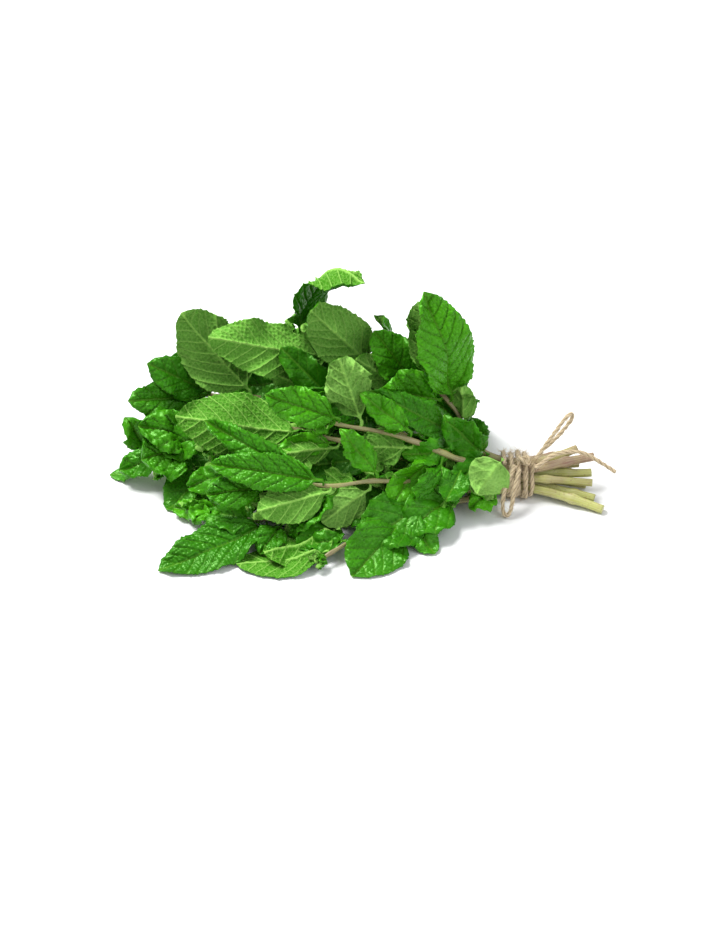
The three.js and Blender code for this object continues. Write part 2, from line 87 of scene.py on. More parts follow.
# The free twine's routes, in millimetres from the knot's middle.
BOW_FRONT = [
    (-3.8, -2.6, -1.2), (-4.7, -4.3, -2.0), (-5.6, -6.0, -3.2), (-6.6, -7.6, -4.8),
    (-7.6, -9.0, -6.8), (-8.4, -10.4, -8.9), (-9.0, -11.7, -11.2), (-9.3, -13.0, -13.3),
    (-9.2, -14.4, -15.4), (-8.5, -15.8, -17.2), (-7.2, -16.3, -17.5), (-6.1, -15.4, -16.0),
    (-5.4, -13.8, -13.6), (-4.8, -12.0, -10.8), (-4.2, -10.0, -7.8), (-3.5, -7.9, -5.1),
    (-2.8, -5.9, -3.2), (-2.1, -4.1, -2.0),
]
BOW_UPRIGHT = [
    (5.0, 0.0, 0.8), (6.2, 0.4, 2.2), (8.0, 1.3, 4.8), (10.0, 2.4, 7.8), (12.2, 3.6, 10.8),
    (14.4, 4.9, 13.6), (16.4, 6.2, 16.2), (18.2, 7.3, 18.0), (19.8, 8.2, 18.5), (20.5, 8.7, 17.2),
    (20.2, 8.8, 15.2), (18.8, 8.5, 12.8), (16.9, 8.0, 10.0), (14.6, 7.2, 7.2), (12.0, 6.3, 4.7),
    (9.5, 5.3, 2.8), (7.2, 4.3, 1.4),
]
TAIL = [
    (4.6, -3.4, -1.6), (6.0, -3.0, -0.8), (7.6, -2.5, 0.3), (9.6, -1.6, 1.6), (12.0, -0.7, 2.8),
    (15.0, 0.0, 3.6), (18.4, 0.4, 4.0), (21.4, 0.5, 4.1), (24.0, 0.4, 3.8), (26.4, 0.1, 3.1),
    (28.6, -0.3, 2.1), (30.8, -0.8, 0.8), (33.0, -1.3, -0.5), (35.4, -1.9, -1.9),
    (37.6, -2.5, -3.2), (39.4, -3.0, -4.3),
]


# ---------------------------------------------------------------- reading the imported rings
def packed_mesh(node):
    """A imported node's points, each once, and its triangles as indices into them."""
    mesh = frame["nodes"][node].data
    co = np.empty(len(mesh.vertices) * 3)
    mesh.vertices.foreach_get("co", co)
    mesh.calc_loop_triangles()
    corners = np.empty(len(mesh.loop_triangles) * 3, dtype=np.int32)
    mesh.loop_triangles.foreach_get("vertices", corners)
    points, index = np.unique(np.round(co.reshape(-1, 3), 7), axis=0, return_inverse=True)
    return points, index.reshape(-1)[corners].reshape(-1, 3)


def read_rings(node):
    """A packed tube or blade as (first pole, rings, last pole).

    Only a pole touches eight neighbours. The rings are the points at equal numbers of edges
    from the first pole, each walked round its own edges, then turned to the least total
    distance from the ring before it.
    """
    points, triangles = packed_mesh(node)
    links = [set() for _ in points]
    for a, b, c in triangles:
        links[a] |= {b, c}
        links[b] |= {a, c}
        links[c] |= {a, b}
    poles = [i for i, near in enumerate(links) if len(near) == SIDES]
    if len(poles) != 2:
        raise RuntimeError(f"{node}: {len(poles)} poles instead of two")

    def flatness(pole):
        ring = points[list(links[pole])]
        return np.linalg.norm(ring.mean(axis=0) - points[pole])

    first, last = sorted(poles, key=flatness)
    seen, level, rings = {first}, links[first], []
    while last not in level:
        walk = [min(level)]
        while len(walk) < SIDES:
            walk.append(min((links[walk[-1]] & level) - set(walk)))
        ring = points[walk]
        if rings:
            turns = [np.roll(way, k, axis=0) for way in (ring, ring[::-1]) for k in range(SIDES)]
            ring = min(turns, key=lambda turned: np.linalg.norm(turned - rings[-1], axis=1).sum())
        rings.append(ring)
        seen |= level
        level = set().union(*(links[i] for i in level)) - seen
    return points[first], np.array(rings), points[last]


def interval(knots, at):
    """Which interval between rising knots each place is in, how far into it, and its width."""
    k = np.clip(np.searchsorted(knots, at, side="right") - 1, 0, len(knots) - 2)
    span = knots[k + 1] - knots[k]
    return k, (at - knots[k]) / span, span


def cubic(start, end, start_slope, end_slope, t, span):
    """A cubic that goes from start to end, with those slopes, as t goes from 0 to 1."""
    return (
        start * (1 + 2 * t) * (1 - t) ** 2
        + start_slope * span * t * (1 - t) ** 2
        + end * t**2 * (3 - 2 * t)
        + end_slope * span * t**2 * (t - 1)
    )


def hermite(knots, rows, at):
    """Rows of values at rising knots, read at any place between them: a cubic through the two
    nearest rows whose slopes are the finite differences of the rows around them."""
    slopes = np.gradient(rows, knots, axis=0)
    k, t, span = interval(knots, at)
    shape = (-1,) + (1,) * (rows.ndim - 1)
    return cubic(rows[k], rows[k + 1], slopes[k], slopes[k + 1], t.reshape(shape), span.reshape(shape))


def unit(vectors):
    """Vectors scaled to length one."""
    return vectors / np.maximum(np.linalg.norm(vectors, axis=-1, keepdims=True), 1e-12)


def smoothstep(low, high, x):
    """0 below low, 1 above high, and 3t^2 - 2t^3 between them."""
    t = np.clip((x - low) / (high - low), 0, 1)
    return t * t * (3 - 2 * t)


def arc_lengths(points):
    """How far along a polyline each of its points is."""
    steps = np.linalg.norm(np.diff(points, axis=0), axis=1)
    return np.concatenate([[0], np.cumsum(steps)])


# ---------------------------------------------------------------- making objects
def new_object(name, points, faces, materials, uv=None, tone=None, face_material=None, **values):
    """A smooth shaded mesh from arrays. uv holds one pair for each point, tone one colour for
    each point, face_material one slot for each face, and any other array, such as net or rank,
    one value for each point."""
    mesh = bpy.data.meshes.new(name)
    faces = faces if isinstance(faces, list) else faces.tolist()
    mesh.from_pydata(np.asarray(points).reshape(-1, 3).tolist(), [], faces)
    for made in materials:
        mesh.materials.append(made)
    mesh.polygons.foreach_set("use_smooth", np.ones(len(mesh.polygons), dtype=bool))
    if face_material is not None:
        mesh.polygons.foreach_set("material_index", np.asarray(face_material, dtype=np.int32))
    if uv is not None:
        corners = np.empty(len(mesh.loops), dtype=np.int32)
        mesh.loops.foreach_get("vertex_index", corners)
        layer = mesh.uv_layers.new(name="surface")
        layer.data.foreach_set("uv", np.asarray(uv).reshape(-1, 2)[corners].ravel())
    if tone is not None:
        layer = mesh.color_attributes.new("tone", "FLOAT_COLOR", "POINT")
        opaque = np.ones((len(mesh.vertices), 1))
        layer.data.foreach_set("color", np.hstack([np.asarray(tone).reshape(-1, 3), opaque]).ravel())
    for layer_name, array in values.items():
        layer = mesh.attributes.new(layer_name, "FLOAT", "POINT")
        layer.data.foreach_set("value", np.asarray(array, dtype=np.float32).ravel())
    mesh.update()
    made = bpy.data.objects.new(name, mesh)
    bpy.context.scene.collection.objects.link(made)
    return made


def grid_faces(rows, columns, start=0, closed=False):
    """Quads over a grid of points in rows. closed joins the last column to the first."""
    row = np.arange(rows - 1)[:, None] * columns
    column = np.arange(columns if closed else columns - 1)[None, :]
    beside = (column + 1) % columns
    quads = [row + column, row + beside, row + columns + beside, row + columns + column]
    return start + np.stack(np.broadcast_arrays(*quads), axis=-1).reshape(-1, 4)


# ---------------------------------------------------------------- leaves
def blade_control(node):
    """A packed leaf as a net of control points on its middle surface.

    Each ring holds a left edge, three upper points, a right edge and three lower points. The
    edges are the farthest pair. The upper points stand wider apart than the lower ones. The
    net's columns run from the right edge to the left edge: edge, inner, midrib, inner, edge.
    """
    _, rings, tip = read_rings(node)

    def apart(rings, a, b):
        """The distance between two points of a ring, summed over the blade's rings."""
        return np.linalg.norm(rings[2:, a] - rings[2:, b], axis=1).sum()

    spread = [apart(rings, k, k + 4) for k in range(4)]
    rings = np.roll(rings, -int(np.argmax(spread)), axis=1)
    if apart(rings, 5, 7) > apart(rings, 1, 3):
        rings = rings[:, [0, 7, 6, 5, 4, 3, 2, 1]]
    middle = rings[4]
    along = rings[5].mean(axis=0) - rings[3].mean(axis=0)
    if np.dot(np.cross(along, middle[0] - middle[4]), middle[2] - middle[6]) < 0:
        rings = rings[:, [4, 3, 2, 1, 0, 7, 6, 5]]
    inner = [(rings[:, k] + rings[:, 8 - k]) / 2 for k in (3, 2, 1)]
    net = np.stack([rings[:, 4], *inner, rings[:, 0]], axis=1)
    return np.concatenate([net, np.broadcast_to(tip, (1, 5, 3))])


def cell_net(x, y, seed):
    """How deep inside a cell each place is: 0 on the vein between two cells, 1 well inside.

    The cells are those of a jittered square lattice: the value is the difference between the
    distances to the nearest and second nearest seeds, scaled and held to 1.
    """
    def scatter(number):
        """A repeatable fraction for each number: that of a large multiple of its sine."""
        return np.modf(np.abs(np.sin(number + seed) * 43758.5453))[0]

    column, row = np.floor(x), np.floor(y)
    distances = []
    for i in (-1, 0, 1):
        for j in (-1, 0, 1):
            cx, cy = column + i, row + j
            seed_x = cx + 0.2 + 0.6 * scatter(cx * 127.1 + cy * 311.7)
            seed_y = cy + 0.2 + 0.6 * scatter(cx * 269.5 + cy * 183.3)
            distances.append(np.hypot(seed_x - x, seed_y - y))
    nearest = np.sort(np.stack(distances), axis=0)
    return np.clip((nearest[1] - nearest[0]) / 0.55, 0, 1)


LAST_ROW = 0.996  # where the grid's last row is, as a share of the blade
TOOTH_TIP = 0.72  # where the tip of a tooth is, as a share of the tooth
CELLS = ((0.27, 0), (0.5, 5))  # cell sizes, in distances between side veins, and their seeds
MIDRIB_GAP = 0.0011  # how far out from the midrib the blisters are full
RIB_HALF = 0.00075  # half-width of the rib under the midrib
SOFT_STOP = 0.0006  # how softly a blade stops above the table


def leaf_surface(net, into_stem, look, sizes, seed, coarse=1.0):
    """The fine surface of a leaf: its two faces as one closed sheet.

    The control net is read on a fine grid by cubics. Along the margin the half-width grows by a
    saw wave, a few teeth for each side vein. Every point then moves along the normal by: minus
    a trough along the midrib, plus a blister in each cell between the veins, plus a wave that
    grows with the third power of the way out to the margin, plus a slow buckling. The two faces
    lie half a thickness to either side, and the lower one has a rib under the midrib, under
    each side vein and between the cells.
    """
    rng = np.random.default_rng(seed)
    youth, shade, quilt, ripple = look
    midline = net[:, 2]
    knots = arc_lengths(midline)
    stalk = knots[1]
    length = knots[-1] - stalk
    if into_stem is not None:
        foot = net[0] - net[0].mean(axis=0)
        net = np.concatenate([(foot * 1.15 + into_stem)[None], net])
        knots = np.concatenate([[-np.linalg.norm(midline[0] - into_stem)], knots])
    half = np.linalg.norm(net[:, 4] - net[:, 0], axis=1) / 2
    spacing = sizes.spacing * coarse
    rows = int(np.clip(length / spacing, 24, 150))
    columns = int(np.clip(2 * half.max() / spacing, 14, 60)) | 1

    # The grid: s is the way along, in metres, and u the way across, from -1 to 1.
    stalk_rows = knots[0] + (stalk - knots[0]) * np.linspace(0, 1, 7)[:-1]
    blade_rows = stalk + length * np.linspace(0, LAST_ROW, rows)
    s = np.concatenate([stalk_rows, blade_rows])
    lines = hermite(knots, net, s)
    half_width = hermite(knots, half, s)[:, None]
    s = s[:, None]
    share = np.clip((s - stalk) / length, 0, 1)
    u = np.linspace(-1, 1, columns)[None, :]
    u = np.sign(u) * np.abs(u) ** 0.85
    side, out = np.sign(u), np.abs(u)
    across = out * half_width

    # The side veins: their rank is a whole number on each.
    pairs = np.clip(length / sizes.vein_spacing, 3.5, 11)
    pitch = length / pairs
    climb = 0.85 * across + 0.45 * across**2 / max(half.max(), 1e-6)
    phase = (s - stalk - climb) / pitch + 0.22 * side
    rank = phase + 0.16 * np.sin(phase * 1.7 + seed + side) * out

    # The teeth widen the grid at the margin.
    uneven = 0.35 * np.sin(share * 17 + seed) + 0.2 * np.sin(share * 41 + side)
    saw = np.modf(share * sizes.teeth * pairs + uneven + 0.17 * side + 40)[0]
    saw = np.where(saw < TOOTH_TIP, saw / TOOTH_TIP, (1 - saw) / (1 - TOOTH_TIP))
    bite = sizes.tooth_depth * saw * smoothstep(0.02, 0.15, share)
    bite = bite * smoothstep(1.0, 0.93, share) * (1 + 0.5 * np.sin(share * 29 + seed * side))
    grown = u * (1 + (bite / np.maximum(half_width, 2e-4)) * out**6)

    slopes = np.gradient(lines, COLUMNS, axis=1)
    k, t, span = interval(COLUMNS, grown)
    row = np.arange(len(s))[:, None]
    middle = cubic(
        lines[row, k], lines[row, k + 1], slopes[row, k], slopes[row, k + 1],
        t[..., None], span[..., None],
    )
    normal = unit(np.cross(np.gradient(middle, axis=0), np.gradient(middle, axis=1)))

    # The relief between the veins.
    blade = smoothstep(0.0, 0.07, share)
    fade = blade * smoothstep(1.0, 0.9, share)
    signed = side * across
    place = np.broadcast_to(s, across.shape)
    cells, broad = (
        cell_net(signed / (size * pitch) + 100, place / (size * pitch) + 100, seed + shift)
        for size, shift in CELLS
    )
    rungs = np.abs((rank % 1) - 0.5) * 2
    secondary = smoothstep(0.0, 0.3, 1 - rungs)
    midrib_gap = smoothstep(0.0, MIDRIB_GAP, across)
    inside = np.minimum(cells, secondary) * midrib_gap
    puff = np.sqrt(inside)
    swell = np.sqrt(np.minimum(broad, secondary) * midrib_gap)
    pleat = np.sqrt(secondary * midrib_gap)
    raised = (0.45 * puff + 0.3 * swell + 0.5 * pleat) * (0.35 + 0.65 * smoothstep(1.02, 0.82, out))
    blister = sizes.quilt_depth * quilt * raised * fade
    trough = sizes.midrib_depth * np.exp(-((across / (0.035 * length + 0.0004)) ** 2)) * blade

    # The ripple of the margin and the buckling of the whole blade.
    wave_a = np.sin(share * (5.5 + 3 * rng.random()) * 2 + 6.3 * rng.random() + 1.4 * side)
    wave_b = np.sin(share * (11 + 5 * rng.random()) * 2 + 6.3 * rng.random() - 0.9 * side)
    buckle = 0.6 * np.sin(share * 7.1 + 6.3 * rng.random())
    buckle = buckle + 0.5 * np.sin(share * 9.3 + 2.5 * u + 6.3 * rng.random())
    wave = (0.7 * wave_a + 0.45 * wave_b) * out**3 + buckle
    lift = blister - trough + ripple * sizes.ruffle * wave * fade
    centre = middle + normal * lift[..., None]
    clearance = sizes.blade_thickness + sizes.rib_depth
    over = (centre[..., 2] - clearance) / SOFT_STOP
    centre[..., 2] = clearance + SOFT_STOP * np.logaddexp(0, over)

    stalk_half = 0.45 * half_width * np.sqrt(np.clip(1 - u**2, 0.02, 1))
    thin = sizes.blade_thickness / 2 * np.clip(1 - out**8, 0.25, 1)
    top = stalk_half * (1 - blade) + thin * blade
    rib = (1 - 0.75 * share) * np.exp(-((across / RIB_HALF) ** 2)) * blade
    small_ribs = (0.4 * (1 - inside) + 0.45 * smoothstep(0.78, 1.0, rungs)) * fade
    upper = centre + normal * top[..., None]
    lower = centre - normal * (top + sizes.rib_depth * (rib + small_ribs))[..., None]
    lower[..., 2] = np.maximum(lower[..., 2], TABLE_GAP)

    rows, columns = middle.shape[:2]
    count = rows * columns
    upper_faces = grid_faces(rows, columns)[:, ::-1]
    lower_faces = grid_faces(rows, columns, count)
    starts, ends = np.arange(columns), np.arange(rows) * columns
    rims = []
    for edge, flip in (
        (starts, False), (count - columns + starts, True), (ends, True), (ends + columns - 1, False),
    ):
        quads = np.stack([edge[:-1], edge[1:], edge[1:] + count, edge[:-1] + count], axis=-1)
        rims.append(quads[:, ::-1] if flip else quads)
    tone = np.broadcast_to([youth, shade, (seed * 0.618) % 1], (rows, columns, 3))
    slots = np.repeat([0, 1, 0], [len(upper_faces), len(lower_faces), sum(map(len, rims))])
    return {
        "points": np.concatenate([upper.reshape(-1, 3), lower.reshape(-1, 3)]),
        "faces": np.concatenate([upper_faces, lower_faces, *rims]),
        "uv": np.tile(np.stack([signed / pitch, place / pitch], axis=-1).reshape(-1, 2), (2, 1)),
        "tone": np.tile(tone.reshape(-1, 3), (2, 1)),
        "net": np.tile(puff.ravel(), 2),
        "rank": np.tile(rank.ravel() + 20, 2),
        "face_material": slots,
    }


# Where the rows of free_blade's net stand along the blade.
BLADE_SHARES = np.array([0.0, 0.06, 0.18, 0.33, 0.5, 0.67, 0.82, 0.93, 1.0])


def free_blade(foot, tip, width, facing, bow=0.08, sway=0.0, twist=0.0, fold=0.25):
    """A control net for a leaf that has no packed one.

    The midrib runs straight from foot to tip, plus bow * 4t(1 - t) of its length towards
    facing and sway * sin(pi t) to one side. The half-width is 2.28 t^0.5 (1 - t)^0.72 of half
    the full width. The edges stand fold times their distance out above the midrib, and turn
    about it by twist * (t - 0.5).
    """
    foot, tip = np.array(foot, float), np.array(tip, float)
    reach = np.linalg.norm(tip - foot)
    along = (tip - foot) / reach
    up = np.array(facing, float)
    up = unit(up - np.dot(up, along) * along)
    across = np.cross(up, along)
    stalk = min(0.004, 0.12 * reach)
    t = BLADE_SHARES[:, None]
    length = reach - stalk
    midline = (
        foot + along * (stalk + length * t)
        + up * bow * length * 4 * t * (1 - t)
        + across * sway * length * np.sin(np.pi * t)
    )
    half = width / 2 * 2.28 * BLADE_SHARES**0.5 * (1 - BLADE_SHARES) ** 0.72
    half[0] = STALK_HALF
    turn = twist * (t - 0.5)
    out = np.cos(turn) * across + np.sin(turn) * up
    above = np.cos(turn) * up - np.sin(turn) * across
    u = COLUMNS[None, :, None]
    spread = half[:, None, None] * (u * out[:, None] + fold * np.abs(u) ** 1.5 * above[:, None])
    return np.concatenate([foot + u * STALK_HALF * across, midline[:, None] + spread])


# How each leaf looks: how young it is, how shaded, how quilted, and how far its margin ripples
# in metres. A leaf that isn't listed is a plain one.
PLAIN_LOOK = (0.25, 0.0, 0.9, 0.0010)
LOOKS = {
    "crown_curl": (0.0, 0.45, 1.1, 0.0012),
    "crown_back": (0.35, 0.0, 0.8, 0.0012),
    "crown_mid": (0.6, 0.0, 1.1, 0.0012),
    "left_tall": (0.55, 0.0, 1.2, 0.0015),
    "left_dark": (0.05, 0.4, 0.6, 0.0006),
    "left_veined": (0.1, 0.3, 0.9, 0.0008),
    "mid_pale": (0.1, 0.4, 0.45, 0.0008),
    "mid_bumpy": (0.2, 0.0, 1.0, 0.0010),
    "mid_bright": (0.45, 0.0, 1.1, 0.0010),
    "mid_upright": (0.85, 0.0, 1.2, 0.0016),
    "right_tall": (0.6, 0.0, 1.3, 0.0012),
    "right_net": (0.6, 0.0, 1.2, 0.0010),
    "right_pale": (0.5, 0.0, 1.1, 0.0012),
    "right_long": (0.1, 0.4, 0.8, 0.0008),
    "right_behind": (0.35, 0.1, 0.8, 0.0008),
    "right_olive": (0.6, 0.0, 0.8, 0.0008),
    "tie_pale": (0.9, 0.0, 0.5, 0.0006),
    "tie_dark": (0.0, 0.3, 0.1, 0.0005),
    "drop_grey": (0.1, 0.1, 1.1, 0.0012),
    "drop_bright": (0.8, 0.0, 0.6, 0.0012),
    "top_small": (0.4, 0.0, 1.1, 0.0012),
    "top_green": (0.5, 0.0, 0.8, 0.0010),
    "node_curl": (0.6, 0.0, 0.5, 0.0012),
    "node_pale": (0.8, 0.0, 0.5, 0.0003),
    "fold_strip": (0.2, 0.0, 1.4, 0.0010),
    "fold_olive": (0.4, 0.2, 0.3, 0.0006),
    "long_light": (0.25, 0.15, 1.2, 0.0008),
    "end_bumpy": (0.15, 0.0, 1.5, 0.0008),
    "table_glossy": (0.12, 0.2, 0.8, 0.0010),
    "table_right": (0.25, 0.1, 0.8, 0.0008),
    "table_olive": (0.0, 0.35, 1.1, 0.0010),
    "table_bumpy": (0.0, 0.3, 1.3, 0.0010),
    "table_quilt": (0.05, 0.1, 1.3, 0.0006),
    "far_quilt": (0.15, 0.0, 1.4, 0.0010),
    "far_small": (0.15, 0.0, 1.0, 0.0008),
    "far_flat": (0.1, 0.1, 0.8, 0.0006),
    "far_dark": (0.0, 0.3, 0.15, 0.0006),
    "deep_shade": (0.0, 0.8, 0.6, 0.0008),
    "deep_olive": (0.3, 0.4, 0.4, 0.0008),
    "deep_green": (0.1, 0.6, 0.4, 0.0008),
    "deep_blue": (0.05, 0.6, 0.8, 0.0008),
}


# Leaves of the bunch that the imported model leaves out: foot and tip from the origin, width,
# the way that the upper face looks, and the look. All lengths are in millimetres.
EXTRA_LEAVES = [
    ((-92, 6, 15), (-99, 6, 32), 13, (0.5, -0.8, 0.2), (0.2, 0.1, 0.9, 0.0008)),
    ((48, 5, 20), (30, 5, 38), 10, (-0.3, -0.8, 0.5), (0.3, 0.0, 0.7, 0.0010)),
    ((48, 9, 27), (46, 9, 47), 11, (0.2, 0.9, -0.2), (0.5, 0.0, 0.6, 0.0010)),
    ((17, -10, 35), (17, -8, 40), 8, (0.0, -0.8, 0.6), (1.0, 0.0, 0.3, 0.0008)),
    ((-3, -47, 7), (-22, -44, 4), 10, (0.1, -0.5, 0.8), (0.1, 0.2, 0.6, 0.0010)),
    ((-54, -19, 21), (-71, -19, 13), 11, (0.0, -0.6, 0.8), (0.3, 0.0, 0.9, 0.0010)),
    ((-63, -24, 9), (-68, -33, 4), 9, (0.0, -0.4, 0.9), (0.6, 0.0, 0.7, 0.0008)),
    ((-63, -24, 9), (-52, -29, 5), 9, (0.2, -0.6, 0.8), (0.5, 0.0, 0.7, 0.0008)),
    ((-57, -28, 9), (-78, -20, 3), 9, (0.0, -0.7, 0.7), (0.8, 0.0, 0.5, 0.0008)),
    ((-8, -6, 28), (-34, -10, 26), 10, (0.0, -0.8, 0.6), (0.7, 0.0, 0.5, 0.0010)),
    ((-21, 21, 36), (-37, 21, 46), 9, (0.0, 0.8, -0.5), (0.5, 0.0, 0.3, 0.0006)),
    ((62, -17, 9), (49, -24, 6), 12, (-0.2, -0.6, 0.8), (0.9, 0.0, 0.6, 0.0010)),
    ((38, 26, 20), (50, 48, 12), 20, (0.3, 0.4, 0.9), (0.3, 0.0, 0.8, 0.0010)),
    ((-4, -32, 6), (-24, -47, 3), 17, (0.0, -0.4, 0.9), (0.1, 0.1, 0.5, 0.0010)),
    ((20, -24, 9), (-4, -32, 5), 20, (0.0, -0.3, 0.9), (0.0, 0.5, 0.4, 0.0010)),
    ((-40, -36, 8), (-65, -26, 5), 17, (0.0, -0.4, 0.9), (0.1, 0.2, 0.9, 0.0010)),
    ((-66, 5, 21), (-93, 3, 30), 19, (0.0, -0.7, 0.7), (0.15, 0.0, 1.4, 0.0010)),
    ((56, -8, 20), (42, -17, 12), 13, (-0.2, -0.5, 0.8), (0.0, 0.2, 0.1, 0.0006)),
    ((42, -21, 10), (22, -40, 3), 22, (0.1, -0.4, 0.9), (0.1, 0.15, 0.9, 0.0010)),
    ((33, -4, 20), (20, -24, 8), 13, (-0.5, -0.6, 0.6), (0.8, 0.0, 0.6, 0.0010)),
    ((58, -1, 17), (38, -3, 40), 15, (-0.2, -0.8, 0.5), (0.1, 0.2, 0.6, 0.0012)),
    ((44, -4, 24), (20, -12, 26), 12, (0.0, -0.8, 0.6), (0.2, 0.1, 0.6, 0.0012)),
    ((55, 7, 15), (51, 13, 27), 10, (0.2, -0.8, 0.5), (0.1, 0.5, 0.6, 0.0008)),
    ((23, 27, 7), (25, 56, 3), 25, (0.0, 0.2, 1.0), (0.2, 0.0, 0.8, 0.0015)),
    ((-35, 50, 9), (-49, 63, 4), 21, (0.0, 0.3, 1.0), (0.2, 0.0, 0.6, 0.0012)),
    ((28, 19, 33), (49, 42, 30), 23, (0.4, 0.5, 0.8), (0.3, 0.0, 0.7, 0.0012)),
    ((-47, 21, 32), (-61, 47, 22), 24, (-0.2, 0.4, 0.9), (0.2, 0.0, 0.8, 0.0012)),
    ((33, 16, 42), (47, 33, 58), 19, (0.4, 0.6, 0.7), (0.3, 0.0, 0.6, 0.0012)),
    ((-6, -40, 8), (-38, -54, 6), 23, (0.0, 0.15, -1.0), (0.0, 0.3, 0.9, 0.0010)),
    ((30, -26, 9), (2, -46, 4), 26, (0.1, -0.5, 0.85), (0.05, 0.3, 0.8, 0.0010)),
    ((-24, 28, 36), (-52, 28, 34), 20, (0.0, -0.7, 0.7), (0.1, 0.3, 0.9, 0.0010)),
    ((-62, 2, 24), (-84, 0, 18), 16, (0.0, -0.7, 0.7), (0.2, 0.1, 0.9, 0.0010)),
    ((63, -19, 29), (52, -26, 15), 18, (-0.3, 0.5, -0.7), (1.0, 0.0, 0.3, 0.0010)),
    ((46, 14, 24), (30, 16, 37), 15, (0.0, -0.8, 0.5), (0.2, 0.1, 0.8, 0.0010)),
]

# The bunch's outline from the front: sideways, and up as seen at the view's tilt, in mm.
OUTLINE = [
    (-108, 4), (-104, 20), (-98, 34), (-84, 58), (-74, 80), (-40, 82), (-6, 80), (16, 74),
    (42, 78), (50, 62), (52, 40), (64, 26), (66, 4), (56, -6), (36, -20), (4, -32),
    (-30, -34), (-84, -28), (-80, -12),
]

# The young leaves at each stem's tip: turn about the stem, lean away from it, and length.
SHOOT = [
    (0.3, 0.55, 0.013), (3.4, 0.6, 0.012), (1.9, 0.4, 0.009), (5.0, 0.35, 0.008), (0.8, 0.12, 0.006),
]
SMALL_SHOOTS = ("stem_front_low", "stem_back_high")  # where they are half as long

# The rules for the leaves at the stems' joints. Lengths are in metres.
LEAFY_SHARES = (0.33, 0.99)  # the leafy part, as shares of a stem's length
JOINT_SPACING = 0.008
TRIES = 20
CLEAR_OF_TABLE = 0.0015
TIE_START = 0.062
CLEAR_OF_LEAVES = 0.0016
CLOSE_IN_VIEW = 0.0025
MOST_HIDING = 0.2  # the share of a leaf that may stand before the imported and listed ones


def leaf_cloud(net, rows=7):
    """Sample points over a leaf's control net."""
    knots = arc_lengths(net[:, 2])
    return hermite(knots, net, np.linspace(knots[1], knots[-1] * 0.97, rows)).reshape(-1, 3)


def seen_from_front(points):
    """Sideways, up and towards the viewer, for points seen from the front at the view's tilt."""
    up = points @ np.array([0, math.sin(VIEW_TILT), math.cos(VIEW_TILT)])
    near = points @ np.array([0, -math.cos(VIEW_TILT), math.sin(VIEW_TILT)])
    return np.column_stack([points[:, 0], up, near])


def inside_outline(points):
    """Which points are in the outline: those with an odd number of its sides to their right."""
    corners = np.array(OUTLINE) * MM
    start, end = corners, np.roll(corners, -1, axis=0)
    x, y = points[:, 0, None], points[:, 1, None]
    spans = (start[:, 1] > y) != (end[:, 1] > y)
    crossing = start[:, 0] + (y - start[:, 1]) / (end[:, 1] - start[:, 1]) * (end[:, 0] - start[:, 0])
    return (spans & (x < crossing)).sum(axis=1) % 2 == 1


def beside_and_above(ahead):
    """The level direction across a stem that runs ahead, and the one across both."""
    side = unit(np.cross(ahead, [0, 0, 1]))
    return side, np.cross(side, ahead)


def random_leaf(middle, ahead, radius, turn, attempt, rng):
    """A leaf's net at a joint. Its turn is less exact, and its length less, at each attempt."""
    side, above = beside_and_above(ahead)
    around = turn + rng.normal() * (0.2 + 0.06 * attempt)
    out = math.cos(around) * side + math.sin(around) * above
    lean = math.radians(rng.uniform(30, 80))
    heading = unit(math.cos(lean) * ahead + math.sin(lean) * out)
    reach = rng.uniform(0.022, 0.046) * (1 - 0.025 * attempt)
    foot = middle + out * radius * 0.7
    facing = unit(
        ahead * math.sin(lean) - out * math.cos(lean) + 0.5 * above + 0.3 * rng.normal(size=3)
    )
    return free_blade(
        foot, foot + heading * reach, reach * rng.uniform(0.48, 0.6), -facing,
        bow=rng.uniform(0.02, 0.14), sway=rng.normal() * 0.05, twist=rng.normal() * 0.5,
    )


def leaf_fits(cloud, taken, placed_view):
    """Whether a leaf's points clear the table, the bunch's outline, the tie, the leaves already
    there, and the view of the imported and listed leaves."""
    view = seen_from_front(cloud)
    if cloud[:, 2].min() < CLEAR_OF_TABLE or not inside_outline(view).all():
        return False
    if cloud[:, 1].max() > CAD_BOUNDS[1][1] or cloud[:, 0].max() > TIE_START:
        return False
    low, high = cloud.min(axis=0) - 0.002, cloud.max(axis=0) + 0.002
    near = taken[((taken > low) & (taken < high)).all(axis=1)]
    gaps = np.linalg.norm(cloud[:, None] - near[None], axis=2)
    if (gaps < CLEAR_OF_LEAVES).any(axis=1).sum() > 4:
        return False
    sideways, up, towards = view.T[:, :, None]
    beside = np.hypot(sideways - placed_view[:, 0], up - placed_view[:, 1]) < CLOSE_IN_VIEW
    hides = (beside & (towards > placed_view[:, 2] + 0.001)).any(axis=1)
    return hides.mean() <= MOST_HIDING


def shoot_leaves(tip, ahead, scale):
    """The nets of the young leaves round a stem's tip."""
    side, above = beside_and_above(ahead)
    for around, lean, reach in SHOOT:
        reach = reach * scale
        out = math.cos(around) * side + math.sin(around) * above
        heading = math.cos(lean) * ahead + math.sin(lean) * out
        facing = math.cos(lean) * out - math.sin(lean) * ahead
        foot = tip - ahead * 0.001 + out * 0.0005
        yield free_blade(foot, foot + heading * reach, reach * 0.5, facing, bow=-0.1, fold=0.5)


